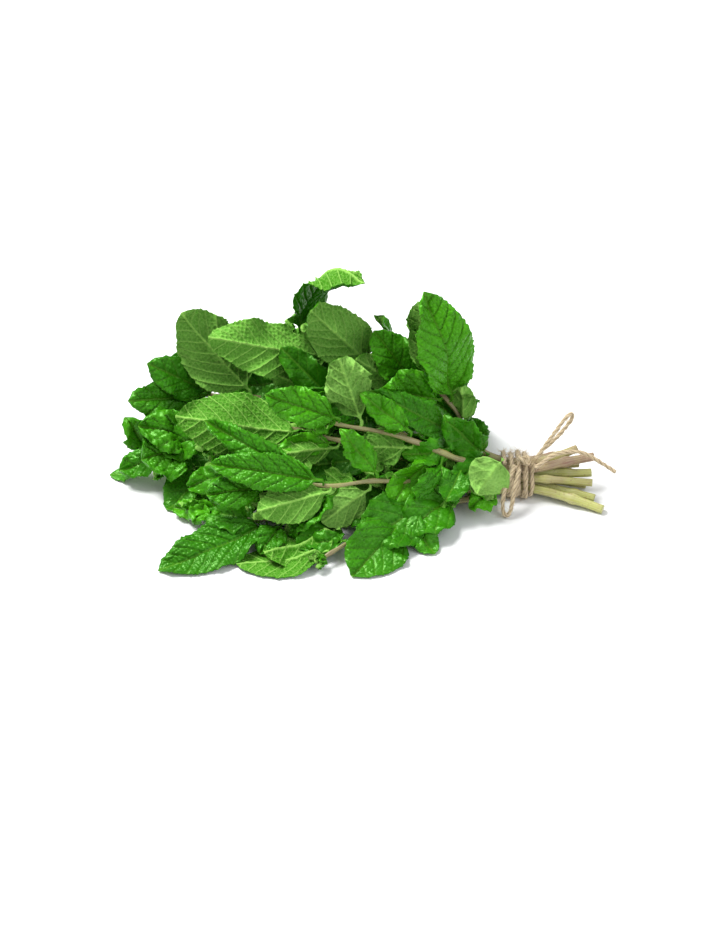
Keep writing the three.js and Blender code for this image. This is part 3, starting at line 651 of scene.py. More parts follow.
def filler_leaves(stems, nets, rng):
    """Opposite pairs of leaves at evenly spaced joints along each stem's leafy part, turned a
    quarter from pair to pair, and the shoot at its tip. Each leaf tries some directions and
    sizes, and takes the first that fits."""
    taken = np.concatenate([leaf_cloud(net, 12) for net in nets])
    placed_view = seen_from_front(taken)
    found = []
    for node, (at, line, radius) in stems.items():
        along = unit(np.gradient(line, axis=0))
        start, end = (at[-1] * share for share in LEAFY_SHARES)
        for count, joint in enumerate(np.arange(start, end, JOINT_SPACING)):
            k = int(np.argmin(abs(at - joint)))
            for half_turn in (0, math.pi):
                turn = half_turn + (count % 2) * math.pi / 2
                for attempt in range(TRIES):
                    net = random_leaf(line[k], along[k], radius[k], turn, attempt, rng)
                    cloud = leaf_cloud(net)
                    if not leaf_fits(cloud, taken, placed_view):
                        continue
                    taken = np.concatenate([taken, cloud])
                    age = 0.1 + 0.5 * (joint / at[-1]) * rng.random()
                    look = (age, 0.35 * rng.random(), rng.uniform(0.7, 1.4), 0.0010)
                    found.append((node, net, look))
                    break
        scale = 0.5 if node in SMALL_SHOOTS else 1
        for net in shoot_leaves(line[-1], along[-1], scale):
            found.append((node, net, (0.6, 0.0, 0.6, 0.0006)))
    return found


# ---------------------------------------------------------------- tubes: stems and twine
def path_frames(centres):
    """Across and up at each point of a path: across starts level, and is carried along the
    path by taking out what lies along it."""
    along = unit(np.gradient(centres, axis=0))
    across = np.cross([0, 0, 1], along[0])
    carried = []
    for direction in along:
        across = across - np.dot(across, direction) * direction
        across = across / np.linalg.norm(across)
        carried.append(across)
    return np.array(carried), np.cross(along, carried)


def tube_surface(centres, radius, angles):
    """A tube whose section is radius(along, around) about its centres, closed by flat ends
    that meet in the middle."""
    across, up = path_frames(centres)
    ring = (
        np.cos(angles)[None, :, None] * across[:, None, :]
        + np.sin(angles)[None, :, None] * up[:, None, :]
    )
    skin = centres[:, None, :] + ring * radius[..., None]
    rows, columns = skin.shape[:2]
    count = rows * columns
    faces = grid_faces(rows, columns, closed=True).tolist()
    last = count - columns
    for k in range(columns):
        faces.append([(k + 1) % columns, k, count])
    for k in range(columns):
        faces.append([last + k, last + (k + 1) % columns, count + 1])
    points = np.concatenate([skin.reshape(-1, 3), centres[:1], centres[-1:]])
    return points, faces


def tube_map(angles, at, unit_length):
    """A tube's surface map: turns round it, and the way along it in unit lengths."""
    uv = np.stack(np.broadcast_arrays(angles / (2 * np.pi), at[:, None] / unit_length), axis=-1)
    return np.concatenate([uv.reshape(-1, 2), [[0, 0], [0, at[-1] / unit_length]]])


def stem_line(node):
    """A packed stem's middle line and half-width at each of its rings, from its cut end."""
    _, rings, _ = read_rings(node)
    centres = rings.mean(axis=1)
    radii = np.linalg.norm(rings - centres[:, None], axis=2).mean(axis=1)
    if centres[0, 0] < centres[-1, 0]:
        centres, radii = centres[::-1], radii[::-1]
    return centres, radii


# Each stem's tint at its cut end and at its leafy end: 0 is green and 1 is purple brown, how
# thick its lower part is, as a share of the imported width, and how far up, in metres, the scar
# of its lowest leaf pair is.
STEM_LOOKS = {
    "stem_front_low": (0.0, 0.45, 1.0, 0.014),
    "stem_front_mid": (0.05, 0.8, 0.9, 0.009),
    "stem_middle_low": (0.2, 0.3, 0.95, 0.018),
    "stem_back_low": (0.3, 0.3, 0.9, 0.012),
    "stem_front_high": (0.3, 0.25, 0.85, 0.02),
    "stem_middle_high": (0.1, 0.2, 0.95, 0.011),
    "stem_back_mid": (0.6, 0.3, 0.9, 0.016),
    "stem_back_high": (1.0, 0.3, 0.95, 0.007),
    "stem_top_front": (0.85, 0.35, 1.0, 0.013),
    "stem_top_back": (0.55, 0.5, 0.95, 0.01),
}


JOINT_REACH = 0.0022  # how far along a stem a joint's swelling reaches
WANDER = 0.00025  # how far a stem's middle line wanders
STEM_MAP = 0.01  # the length along a stem that its surface map counts as one


def stem_surface(node, joints, sizes):
    """A square stem with rounded corners: its radius is 1 + squareness * cos 4a times its own
    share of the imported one. It swells (a Gaussian of the way along) at each joint where leaves
    grow and at its lowest scar, thins towards its leafy end, and its middle line wanders by two
    sine waves."""
    low, high, thickness, scar = STEM_LOOKS[node]
    centres, radii = stem_line(node)
    knots = arc_lengths(centres)
    at = np.linspace(0, knots[-1], int(knots[-1] / sizes.step))
    share = at / at[-1]
    swelling = sum(np.exp(-(((at - joint) / JOINT_REACH) ** 2)) for joint in [*joints, scar])
    wander = np.stack([0 * at, np.sin(at * 210 + scar * 900), np.cos(at * 170 + scar * 700)], axis=-1)
    line = hermite(knots, centres, at) + wander * WANDER
    radius = hermite(knots, radii, at) * thickness
    radius = radius * (1 + sizes.joint_swelling * np.clip(swelling, 0, 1))
    radius = radius * (1 - sizes.thinning * smoothstep(0.2, 0.75, share))
    angles = np.linspace(0, 2 * np.pi, sizes.sides, endpoint=False)
    square = 1 + sizes.squareness * np.cos(4 * angles)
    points, faces = tube_surface(line, radius[:, None] * square[None, :], angles)
    tint = low + (high - low) * smoothstep(0.25, 0.6, share)
    tone = np.stack([tint, share, np.full_like(share, (len(node) * 0.37) % 1)], axis=-1)
    tone = np.concatenate([np.repeat(tone, sizes.sides, axis=0), [[low, -1, 0], [high, 1, 0]]])
    return points, faces, tone, tube_map(angles, at, STEM_MAP)


def twine_surface(route, radius, step, ply_turns=330.0, sides=18):
    """Three-ply twine: its radius is 0.76 + 0.24 |cos(1.5 (a - turns))| times its half-width,
    so that three lobes wind round it, and it has slow lumps along it. route is the list of
    points it follows."""
    points = np.array(route)
    knots = arc_lengths(points)
    at = np.linspace(0, knots[-1], int(knots[-1] / step))
    line = hermite(knots, points, at)
    angles = np.linspace(0, 2 * np.pi, sides, endpoint=False)
    height = np.abs(np.cos(1.5 * (angles[None, :] - ply_turns * at[:, None] * 2)))
    lumps = 1 + 0.08 * np.sin(at * 900)[:, None] + 0.06 * np.sin(at * 2300 + 1)[:, None]
    surface, faces = tube_surface(line, radius * (0.76 + 0.24 * height) * lumps, angles)
    # how high each point stands on its ply; the twine material paints shade where this is low
    depth = np.concatenate([height.ravel(), [1, 1]])
    return surface, faces, tube_map(angles, at, 2 * radius), depth, line


def twine_fuzz(line, radius, rng, per_metre=4200, thickness=0.00007, long_share=0.04):
    """Loose fibres: short bent three-sided hairs that leave the twine at a slant, some of them
    long. Each hair's middle is its root plus t along its slant plus t^2 of a random bend."""
    sides, rings = 3, 4
    knots = arc_lengths(line)
    count = int(knots[-1] * per_metre)
    at = np.sort(rng.random(count)) * knots[-1]
    root = hermite(knots, line, at)
    along = unit(hermite(knots, np.gradient(line, axis=0), at))
    out = unit(np.cross(along, unit(rng.normal(size=(count, 3)))))
    lean = unit(out * 0.8 + along * rng.uniform(-1.2, 1.2, (count, 1)))
    bend = unit(rng.normal(size=(count, 3)))
    size = rng.uniform(0.0008, 0.0028, (count, 1))
    size = size * (0.4 + rng.random((count, 1)) + 1.2 * (rng.random((count, 1)) > 1 - long_share))
    t = np.linspace(0, 1, rings)[None, :, None]
    foot = root + out * radius * 0.75
    middle = foot[:, None] + (lean * size)[:, None] * t + (bend * size * 0.5)[:, None] * t**2
    width = thickness * (1 - 0.6 * t[0])
    one = unit(np.cross(lean, bend))
    two = np.cross(lean, one)
    angles = np.arange(sides) * 2 * np.pi / sides
    ring = np.cos(angles)[:, None] * one[:, None] + np.sin(angles)[:, None] * two[:, None]
    points = middle[:, :, None] + ring[:, None] * width[None, :, None]
    points[..., 2] = np.maximum(points[..., 2], TABLE_GAP)
    starts = np.arange(count) * sides * rings
    walls = grid_faces(rings, sides, closed=True)
    faces = (starts[:, None, None] + walls[None]).reshape(-1, 4).tolist()
    for cap in ([2, 1, 0], [9, 10, 11]):
        faces += (starts[:, None] + cap).tolist()
    return points.reshape(-1, 3), faces


# ---------------------------------------------------------------- materials
class Graph:
    """Adds nodes to a material or a group. A value is a number, a colour, a vector or a socket."""

    def __init__(self, tree):
        self.tree = tree

    def put(self, socket, value):
        """Link a value to a socket, or set it."""
        if isinstance(value, bpy.types.NodeSocket):
            self.tree.links.new(value, socket)
        elif socket.type == "RGBA":
            socket.default_value = (*value, 1)
        else:
            socket.default_value = value

    def add(self, kind, *values, named=None, **settings):
        """A new node with its settings, its first inputs' values and its named inputs' values."""
        node = self.tree.nodes.new(kind)
        for name, setting in settings.items():
            setattr(node, name, setting)
        for key, value in (*enumerate(values), *(named or {}).items()):
            self.put(node.inputs[key], value)
        return node

    def math(self, operation, a, b=0.5, clamp=False):
        """A calculation with two values."""
        return self.add("ShaderNodeMath", a, b, operation=operation, use_clamp=clamp).outputs[0]

    def mix(self, factor, a, b, strength=1):
        """A mix of two colours, by a factor times a strength."""
        if strength != 1:
            factor = self.math("MULTIPLY", factor, strength)
        return self.add("ShaderNodeMix", named={0: factor, 6: a, 7: b}, data_type="RGBA").outputs[2]

    def ramp(self, value, low, high, to_low=0.0, to_high=1.0):
        """A smooth step from to_low to to_high while a value goes from low to high."""
        limits = (value, low, high, to_low, to_high)
        return self.add("ShaderNodeMapRange", *limits, interpolation_type="SMOOTHSTEP").outputs[0]

    def noise(self, vector, scale, detail=3.0):
        """A noise value at a place."""
        named = {"Vector": vector, "Scale": scale, "Detail": detail}
        return self.add("ShaderNodeTexNoise", named=named).outputs["Fac"]

    def attribute(self, name, output="Fac"):
        """An attribute of the mesh."""
        return self.add("ShaderNodeAttribute", attribute_name=name).outputs[output]

    def split_tone(self):
        """The three numbers of the mesh's tone."""
        return self.add("ShaderNodeSeparateColor", self.attribute("tone", "Color")).outputs

    def surface(self):
        """The mesh's surface map."""
        return self.add("ShaderNodeUVMap", uv_map="surface").outputs["UV"]

    def stretched(self, scale, turn=0.0):
        """The surface map scaled, and turned in its own plane."""
        named = {"Vector": self.surface(), "Scale": scale, "Rotation": (0, 0, turn)}
        return self.add("ShaderNodeMapping", named=named).outputs[0]

    def place(self):
        """The place in the object."""
        return self.add("ShaderNodeTexCoord").outputs["Object"]

    def finish(self, colour, height, strength, distance):
        """Give the shader its colour, and a bump of a height."""
        inputs = self.tree.nodes["Principled BSDF"].inputs
        self.put(inputs["Base Color"], colour)
        named = {"Strength": strength, "Distance": distance, "Height": height}
        self.put(inputs["Normal"], self.add("ShaderNodeBump", named=named).outputs[0])


def new_material(name, roughness, **shader_values):
    """A material with a Principled shader, its graph, and the shader's inputs."""
    made = bpy.data.materials.new(name)
    made.use_nodes = True
    inputs = made.node_tree.nodes["Principled BSDF"].inputs
    inputs["Roughness"].default_value = roughness
    for socket, value in shader_values.items():
        inputs[socket.replace("_", " ")].default_value = value
    return made, Graph(made.node_tree), inputs


def make_vein_group():
    """Vein masks from a leaf's own surface map, whose first number is the way out from the
    midrib, and from its rank, which is a whole number on each side vein."""
    group = bpy.data.node_groups.new("mint veins", "ShaderNodeTree")
    for direction, kind, names in (
        ("INPUT", "Vector", ("Surface",)),
        ("INPUT", "Float", ("Rank", "Seed")),
        ("OUTPUT", "Float", ("Midrib", "Side veins", "Network", "Cells")),
    ):
        for name in names:
            group.interface.new_socket(name=name, in_out=direction, socket_type="NodeSocket" + kind)
    graph = Graph(group)
    inside, outside = graph.add("NodeGroupInput").outputs, graph.add("NodeGroupOutput").inputs
    x, y, _ = graph.add("ShaderNodeSeparateXYZ", inside["Surface"]).outputs
    graph.put(outside["Midrib"], graph.ramp(graph.math("ABSOLUTE", x), 0.03, 0.1, 1, 0))
    gap = graph.math("PINGPONG", inside["Rank"], 0.5)
    graph.put(outside["Side veins"], graph.ramp(gap, 0.015, 0.075, 1, 0))
    depth = graph.math("MULTIPLY", inside["Seed"], 37.0)
    place = graph.add("ShaderNodeCombineXYZ", x, y, depth).outputs[0]
    for feature, output, low, high in (
        ("DISTANCE_TO_EDGE", "Network", 0.02, 0.14), ("F1", "Cells", 0.0, 0.75),
    ):
        named = {"Vector": place, "Scale": 4.6}
        cells = graph.add("ShaderNodeTexVoronoi", voronoi_dimensions="3D", feature=feature, named=named)
        graph.put(outside[output], graph.ramp(cells.outputs["Distance"], low, high, 1, 0))
    return group


def leaf_inputs(graph):
    """What every leaf material starts from: the veins, the tone, the cell net and the place."""
    tone = graph.split_tone()
    veins = graph.add("ShaderNodeGroup", node_tree=vein_group())
    graph.put(veins.inputs["Rank"], graph.attribute("rank"))
    graph.put(veins.inputs["Surface"], graph.surface())
    graph.put(veins.inputs["Seed"], tone[2])
    return veins.outputs, tone, graph.attribute("net"), graph.place()


def leaf_upper_material(colours):
    """The upper face: deep satin green, with painted light on the blister tops and painted shade
    in the folds between blisters and on shaded leaves, a lighter midrib and faint lighter side veins."""
    made, graph, shader = new_material(
        "mint_leaf_upper", 0.42, Specular_IOR_Level=0.5, Specular_Tint=(0.45, 1.0, 0.25, 1.0),
    )
    veins, tone, net, place = leaf_inputs(graph)
    patches = graph.ramp(graph.noise(place, 70.0), 0.3, 0.7, -0.12, 0.12)
    youth = graph.math("ADD", tone[0], patches, True)
    green = graph.mix(youth, colours.upper, colours.young)
    # painted light: the blister tops are mixed towards a lighter green where the cells rise
    painted_crest_light = graph.mix(graph.ramp(net, 0.1, 1.0, 0.0, 0.55), green, colours.painted_crest_light)
    painted_crest_light = graph.mix(0.55, green, painted_crest_light)
    # painted shade: leaves marked as shaded in their tone are darkened towards the shade colour
    shaded = graph.mix(tone[1], painted_crest_light, colours.deep, 0.6)
    # painted shade in the folds between the blisters and along the fine veins, mixed towards the shade
    # colour
    network = graph.math("MULTIPLY", veins["Network"], 0.2)
    fold = graph.math("MAXIMUM", network, graph.ramp(net, 0.0, 0.55, 0.75, 0.0))
    body = graph.mix(fold, shaded, colours.deep)
    body = graph.mix(veins["Side veins"], body, colours.vein, 0.26)
    body = graph.mix(veins["Midrib"], body, colours.vein, 0.4)
    graph.put(shader["Roughness"], graph.ramp(graph.noise(place, 420.0), 0.3, 0.7, 0.26, 0.42))
    grain = graph.math("MULTIPLY", graph.noise(place, 1800.0), 0.25)
    graph.finish(body, graph.math("ADD", veins["Cells"], grain), 0.3, 0.00035)
    return made


def leaf_under_material(colours):
    """The lower face: pale matt green with a raised lighter network of veins, and painted shade
    on shaded leaves and in the sunken middles of the cells.
    """
    made, graph, _ = new_material(
        "mint_leaf_under", 0.6, Specular_IOR_Level=0.25, Specular_Tint=(0.6, 1.0, 0.2, 1.0),
    )
    veins, tone, net, place = leaf_inputs(graph)
    green = graph.mix(tone[0], colours.under, colours.under_young)
    patches = graph.ramp(graph.noise(place, 90.0), 0.35, 0.7, 0.0, 0.22)
    green = graph.mix(patches, green, colours.upper)
    # painted shade: leaves marked as shaded in their tone are darkened towards the shade colour
    shaded = graph.mix(tone[1], green, colours.deep, 0.7)
    fine = graph.mix(veins["Network"], shaded, colours.under_vein, 0.35)
    # painted shade in the sunken middles of the cells on the lower face
    sunk_shade = graph.mix(graph.ramp(net, 0.35, 1.0, 0.0, 0.25), fine, colours.upper)
    coarse = graph.mix(graph.ramp(net, 0.0, 0.4, 0.5, 0.0), sunk_shade, colours.under_vein)
    side_veins = graph.math("MULTIPLY", veins["Side veins"], 0.8)
    ribs = graph.math("MAXIMUM", veins["Midrib"], side_veins)
    ribbed = graph.mix(ribs, coarse, colours.under_vein, 0.8)
    height = graph.math("MAXIMUM", veins["Network"], veins["Side veins"])
    grain = graph.math("MULTIPLY", graph.noise(place, 1500.0), 0.5)
    graph.finish(ribbed, graph.math("ADD", height, grain), 0.5, 0.00025)
    return made


def stem_material(colours):
    """Smooth juicy stems: green to purple brown along their length, with fine lengthwise
    streaks, spots and a pale cut end, and painted shade over their leafy part inside the bunch."""
    made, graph, _ = new_material("mint_stem", 0.42)
    tint, share, _ = graph.split_tone()
    place = graph.place()
    streaks = graph.noise(graph.stretched((26, 0.5, 1)), 1.0, 4.0)
    patches = graph.ramp(graph.noise(place, 110.0), 0.3, 0.7, -0.25, 0.25)
    body = graph.mix(graph.math("ADD", tint, patches, True), colours.green, colours.purple)
    body = graph.mix(graph.ramp(streaks, 0.35, 0.7, 0.0, 0.5), body, colours.pale)
    spots = graph.ramp(graph.noise(place, 900.0), 0.56, 0.72, 0.0, 0.55)
    body = graph.mix(spots, body, colours.purple)
    body = graph.mix(graph.ramp(share, -0.5, -0.02, 1.0, 0.0), body, colours.pale)
    # painted shade: the leafy part of each stem, inside the bunch, is mixed part way to a dark colour
    body = graph.mix(graph.ramp(share, 0.26, 0.42, 1.0, 0.6), colours.dark, body)
    graph.finish(body, streaks, 0.4, 0.0002)
    return made


def twine_material(colours):
    """Jute: tan, with painted shade between the plies, and fine fibres slanting along each ply."""
    made, graph, _ = new_material("jute_twine", 0.85, Sheen_Weight=0.3)
    fibres = graph.noise(graph.stretched((9, 2.2, 1), 0.55), 3.2, 5.0)
    body = graph.mix(graph.ramp(fibres, 0.3, 0.72), colours.shade, colours.fibre)
    # painted shade between the plies, where the twine's surface lies low
    body = graph.mix(graph.ramp(graph.attribute("net"), 0.0, 0.6), colours.groove_shade, body)
    graph.finish(body, fibres, 0.8, 0.0003)
    return made


def fuzz_material(colours):
    """The loose fibres: plain pale straw with a slow change of colour along the twine."""
    made, graph, shader = new_material("jute_fibre", 0.8)
    patches = graph.noise(graph.place(), 400.0)
    graph.put(shader["Base Color"], graph.mix(patches, colours.shade, colours.fibre))
    return made


def material(name, build, colours):
    """The named material, built the first time that it is asked for."""
    return bpy.data.materials.get(name) or build(colours)


def vein_group():
    """The shared vein group, built once."""
    return bpy.data.node_groups.get("mint veins") or make_vein_group()


# ---------------------------------------------------------------- settings
def colour(name, description, default):
    """A colour property."""
    return FloatVectorProperty(
        name=name, description=description, default=default, subtype="COLOR", size=3, min=0, max=1,
    )


def length(name, description, default):
    """A length property, in metres."""
    return FloatProperty(name=name, description=description, default=default, unit="LENGTH", precision=5)


def number(name, description, default):
    """A plain number property."""
    return FloatProperty(name=name, description=description, default=default)


class MintLeafSettings(PropertyGroup):
    """Sizes and colours of the leaves."""

    spacing: length("Mesh spacing", "Distance between points of a leaf's surface", 0.00045)
    blade_thickness: length("Blade thickness", "Thickness of a blade between its veins", 0.00042)
    vein_spacing: length("Vein spacing", "Distance between side veins along the midrib", 0.0064)
    quilt_depth: length("Quilt depth", "Height of the blisters between veins", 0.0011)
    midrib_depth: length("Midrib depth", "Depth of the trough along the midrib", 0.0006)
    rib_depth: length("Rib depth", "Height of the midrib under the blade", 0.0006)
    tooth_depth: length("Tooth depth", "Depth of the teeth along the margin", 0.0006)
    ruffle: number("Ruffle", "How much the margins ripple", 1.7)
    teeth: number("Teeth", "Teeth along the margin for each side vein", 2.6)
    upper: colour("Upper face", "Colour of a full-grown leaf's upper face", (0.024, 0.165, 0.0010))
    young: colour("Young leaf", "Colour of a young leaf's upper face", (0.080, 0.37, 0.004))
    # painted light: the lighter green mixed onto the blister tops
    painted_crest_light: colour("Blisters", "Colour of the tops of the blisters", (0.055, 0.27, 0.014))
    # painted shade: mixed into shaded leaves and into the folds between the blisters
    deep: colour("Shade", "Colour of the darkest leaves and folds", (0.004, 0.036, 0.001))
    vein: colour("Veins", "Colour of the veins on the upper face", (0.13, 0.36, 0.02))
    under: colour("Lower face", "Colour of a full-grown leaf's lower face", (0.066, 0.280, 0.012))
    under_young: colour("Young lower face", "Colour of a young leaf's lower face", (0.26, 0.50, 0.11))
    under_vein: colour("Lower veins", "Colour of the veins on the lower face", (0.27, 0.53, 0.10))


class MintStemSettings(PropertyGroup):
    """Sizes and colours of the stems."""

    step: length("Step", "Distance between rings of a stem", 0.0009)
    sides: IntProperty(name="Sides", description="Points round a stem", default=24, min=8)
    squareness: number("Squareness", "How square a stem's section is", 0.07)
    joint_swelling: number("Joint swelling", "How much a stem swells at a joint", 0.28)
    thinning: number("Thinning", "How much thinner the leafy end is", 0.35)
    green: colour("Green", "Colour of a green stem", (0.40, 0.42, 0.095))
    purple: colour("Purple brown", "Colour of an old stem", (0.25, 0.13, 0.085))
    pale: colour("Pale streaks", "Colour of the streaks and the cut end", (0.62, 0.58, 0.36))
    # painted shade for the stems inside the bunch
    dark: colour("Inner part", "Colour of a stem inside the bunch", (0.035, 0.030, 0.008))


class MintTwineSettings(PropertyGroup):
    """Sizes and colours of the twine."""

    diameter: length("Diameter", "Width of the twine", 0.0018)
    step: length("Step", "Distance between rings of the twine", 0.00022)
    turns: IntProperty(name="Turns", description="Turns of the tie", default=7, min=1)
    fibre: colour("Fibre", "Colour of the light fibres", (0.72, 0.60, 0.40))
    shade: colour("Shade", "Colour of the dark fibres", (0.46, 0.34, 0.19))
    # painted shade between the plies
    groove_shade: colour("Groove", "Colour between the plies", (0.20, 0.13, 0.06))


class MintStageSettings(PropertyGroup):
    """The floor, the light and the camera."""

    floor: colour("Floor", "Colour of the floor", (0.86, 0.86, 0.86))
    elevation: FloatProperty(
        name="Camera elevation", description="Height of the camera above the horizon",
        default=VIEW_TILT, subtype="ANGLE",
    )
    lens: number("Lens", "Focal length in millimetres", 85)
    distance: length("Distance", "From the camera to the bunch", 0.9645)


# ---------------------------------------------------------------- operators
def place_piece(piece, slot, replaced=None):
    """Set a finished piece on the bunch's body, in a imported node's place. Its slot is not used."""
    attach(piece, "root")
    if replaced:
        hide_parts(replaced)
    return piece
def all_stem_lines(samples=240):
    """Every packed stem's places along it, its middle line there, and its half-width there."""
    found = {}
    for node in sorted(n for n in frame["nodes"] if n.startswith("stem_")):
        centres, radii = stem_line(node)
        knots = arc_lengths(centres)
        at = np.linspace(0, knots[-1], samples)
        found[node] = (at, hermite(knots, centres, at), hermite(knots, radii, at))
    return found


def nearest_on_stems(point, stems):
    """The stem nearest to a point, how far along it, and its middle and half-width there."""
    best = None
    for node, (at, line, radius) in stems.items():
        away = np.linalg.norm(line - point, axis=1) - radius
        k = int(np.argmin(away))
        if best is None or away[k] < best[0]:
            best = (away[k], node, at[k], line[k], radius[k])
    return best[1:]


def leaf_nodes():
    """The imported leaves' names, in order."""
    return sorted(n for n in frame["nodes"] if n.startswith("leaf_"))


def leaf_foot(net):
    """The middle of a leaf's foot."""
    return net[0].mean(axis=0)


def leaf_materials(sizes):
    """The materials of a leaf's upper and lower face."""
    return [
        material("mint_leaf_upper", leaf_upper_material, sizes),
        material("mint_leaf_under", leaf_under_material, sizes),
    ]


class MINT_OT_leaves(Operator):
    """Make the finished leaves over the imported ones"""

    bl_idname = "mint.leaves"
    bl_label = "Leaves"

    def execute(self, context):
        sizes = context.scene.mint_leaf
        finishes = leaf_materials(sizes)
        stems = all_stem_lines()
        slots = {part["node"]: part["material_slot"] for part in frame["record"]["subparts"]}
        for seed, node in enumerate(leaf_nodes(), start=1):
            net = blade_control(node)
            foot = leaf_foot(net)
            _, _, middle, radius = nearest_on_stems(foot, stems)
            into_stem = middle + unit(foot - middle) * radius * 0.4
            look = LOOKS.get(node.removeprefix("leaf_"), PLAIN_LOOK)
            shape = leaf_surface(net, into_stem, look, sizes, seed)
            leaf = new_object(node.replace("leaf_", "mint_leaf_"), materials=finishes, **shape)
            place_piece(leaf, slots[node], node)
        return {"FINISHED"}


def joined(shapes):
    """Several leaf surfaces as one."""
    starts = np.cumsum([0] + [len(shape["points"]) for shape in shapes[:-1]])
    both = {key: np.concatenate([shape[key] for shape in shapes]) for key in shapes[0]}
    counts = [len(shape["faces"]) for shape in shapes]
    both["faces"] = both["faces"] + np.repeat(starts, counts)[:, None]
    return both


FILL_COARSENESS = 1.45  # the mesh spacing of the smaller leaves, as a share of the others'


class MINT_OT_fill(Operator):
    """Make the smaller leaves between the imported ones, one piece for each stem"""

    bl_idname = "mint.fill"
    bl_label = "Leaves between"

    def execute(self, context):
        sizes = context.scene.mint_leaf
        finishes = leaf_materials(sizes)
        stems = all_stem_lines()
        nets = [blade_control(node) for node in leaf_nodes()]
        rng = np.random.default_rng(5)
        found = []
        for foot, tip, width, facing, look in EXTRA_LEAVES:
            net = free_blade(
                np.array(foot) * MM, np.array(tip) * MM, width * MM, facing,
                bow=rng.uniform(0.03, 0.12), sway=rng.normal() * 0.04, twist=rng.normal() * 0.3,
            )
            nets.append(net)
            found.append((nearest_on_stems(leaf_foot(net), stems)[0], net, look))
        groups = {}
        for stem, net, look in found + filler_leaves(stems, nets, rng):
            groups.setdefault(stem, []).append((net, look))
        seeds = itertools.count(101)
        for stem, leaves in groups.items():
            shape = joined([
                leaf_surface(net, None, look, sizes, next(seeds), FILL_COARSENESS)
                for net, look in leaves
            ])
            leaf = new_object(stem.replace("stem_", "mint_fill_"), materials=finishes, **shape)
            place_piece(leaf, "leaf")
        return {"FINISHED"}


class MINT_OT_stems(Operator):
    """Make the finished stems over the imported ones"""

    bl_idname = "mint.stems"
    bl_label = "Stems"

    def execute(self, context):
        sizes = context.scene.mint_stem
        finish = material("mint_stem", stem_material, sizes)
        stems = all_stem_lines()
        joints = {node: [] for node in stems}
        for node in leaf_nodes():
            stem, at, _, _ = nearest_on_stems(leaf_foot(blade_control(node)), stems)
            joints[stem].append(at)
        for node in stems:
            points, faces, tone, uv = stem_surface(node, joints[node], sizes)
            name = node.replace("stem_", "mint_stem_")
            place_piece(new_object(name, points, faces, [finish], uv=uv, tone=tone), "stem", node)
        return {"FINISHED"}


def add_twine(name, route, sizes, rng, replaced):
    """One length of twine with its loose fibres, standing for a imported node."""
    finish = material("jute_twine", twine_material, sizes)
    fibre = material("jute_fibre", fuzz_material, sizes)
    radius = sizes.diameter / 2
    points, faces, uv, depth, line = twine_surface(route, radius, sizes.step)
    twine = new_object(name, points, faces, [finish], uv=uv, net=depth)
    fuzz = new_object(name + "_fibres", *twine_fuzz(line, radius, rng), [fibre])
    return place_piece(twine, "twine", replaced), place_piece(fuzz, "twine"), line


class MINT_OT_bows(Operator):
    """Make the free lengths of twine: the front bow, the upright bow and the tail"""

    bl_idname = "mint.bows"
    bl_label = "Free twine"

    def execute(self, context):
        sizes = context.scene.mint_twine
        rng = np.random.default_rng(11)
        for name, offsets, far_end in (
            ("bow_front", BOW_FRONT, "object"),
            ("bow_upright", BOW_UPRIGHT, "object"),
            ("tail", TAIL, "bare"),
        ):
            route = KNOT_CENTRE + MM * np.array(offsets)
            twine, fuzz, line = add_twine("jute_" + name, route, sizes, rng, "twine_" + name)
            tuple(line[0])
            float(arc_lengths(line)[-1])
            [tuple(p) for p in line]
        return {"FINISHED"}


TIE_STEPS = 48  # steps of the route in each turn of the tie
CROSSING = 0.0009  # how far a turn strays over its neighbours
BULGE = 0.0006  # how unevenly the turns stand out
TIE_SINK = 0.0009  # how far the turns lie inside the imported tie


class MINT_OT_tie(Operator):
    """Make the turns of the tie and the knot"""

    bl_idname = "mint.tie"
    bl_label = "Tie and knot"

    def execute(self, context):
        sizes = context.scene.mint_twine
        rng = np.random.default_rng(12)
        low, high = (np.array(corner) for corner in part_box("twine_wrap"))
        radius = sizes.diameter / 2
        middle = (low[0] + high[0]) / 2
        lines = [line for _, line, _ in all_stem_lines().values()]
        middles = np.array([line[np.argmin(abs(line[:, 0] - middle))] for line in lines])
        reach = (high[2] - middles[:, 2].max()) - radius

        # Each turn lies on the farthest stem, and crosses its neighbours a little.
        start, steps = np.radians(75), TIE_STEPS * sizes.turns + 1
        angles = start - np.linspace(0, 2 * np.pi * sizes.turns, steps)
        out = np.stack([-np.cos(angles), np.sin(angles)], axis=-1)
        far = middles[np.argmax(out @ middles[:, 1:].T, axis=1), 1:]
        x = np.linspace(high[0] - radius, low[0] + radius, steps)
        x = x + CROSSING * np.sin(angles / 2 + 0.4)
        bulge = BULGE * (1 + np.sin(angles * 0.73)) - TIE_SINK
        ring = far + out * (reach + bulge)[:, None]
        ring[:, 1] = np.maximum(ring[:, 1], radius * 1.3)
        add_twine("jute_wrap", np.column_stack([x, ring]), sizes, rng, "twine_wrap")

        t = np.linspace(0, 2 * np.pi, 40)
        knot = np.column_stack([2.2 * np.sin(t * 1.5), 1.6 * np.cos(t * 1.5 + 0.4), np.sin(t * 3)])
        add_twine("jute_knot", KNOT_CENTRE + MM * knot, sizes, rng, "twine_knot")
        return {"FINISHED"}


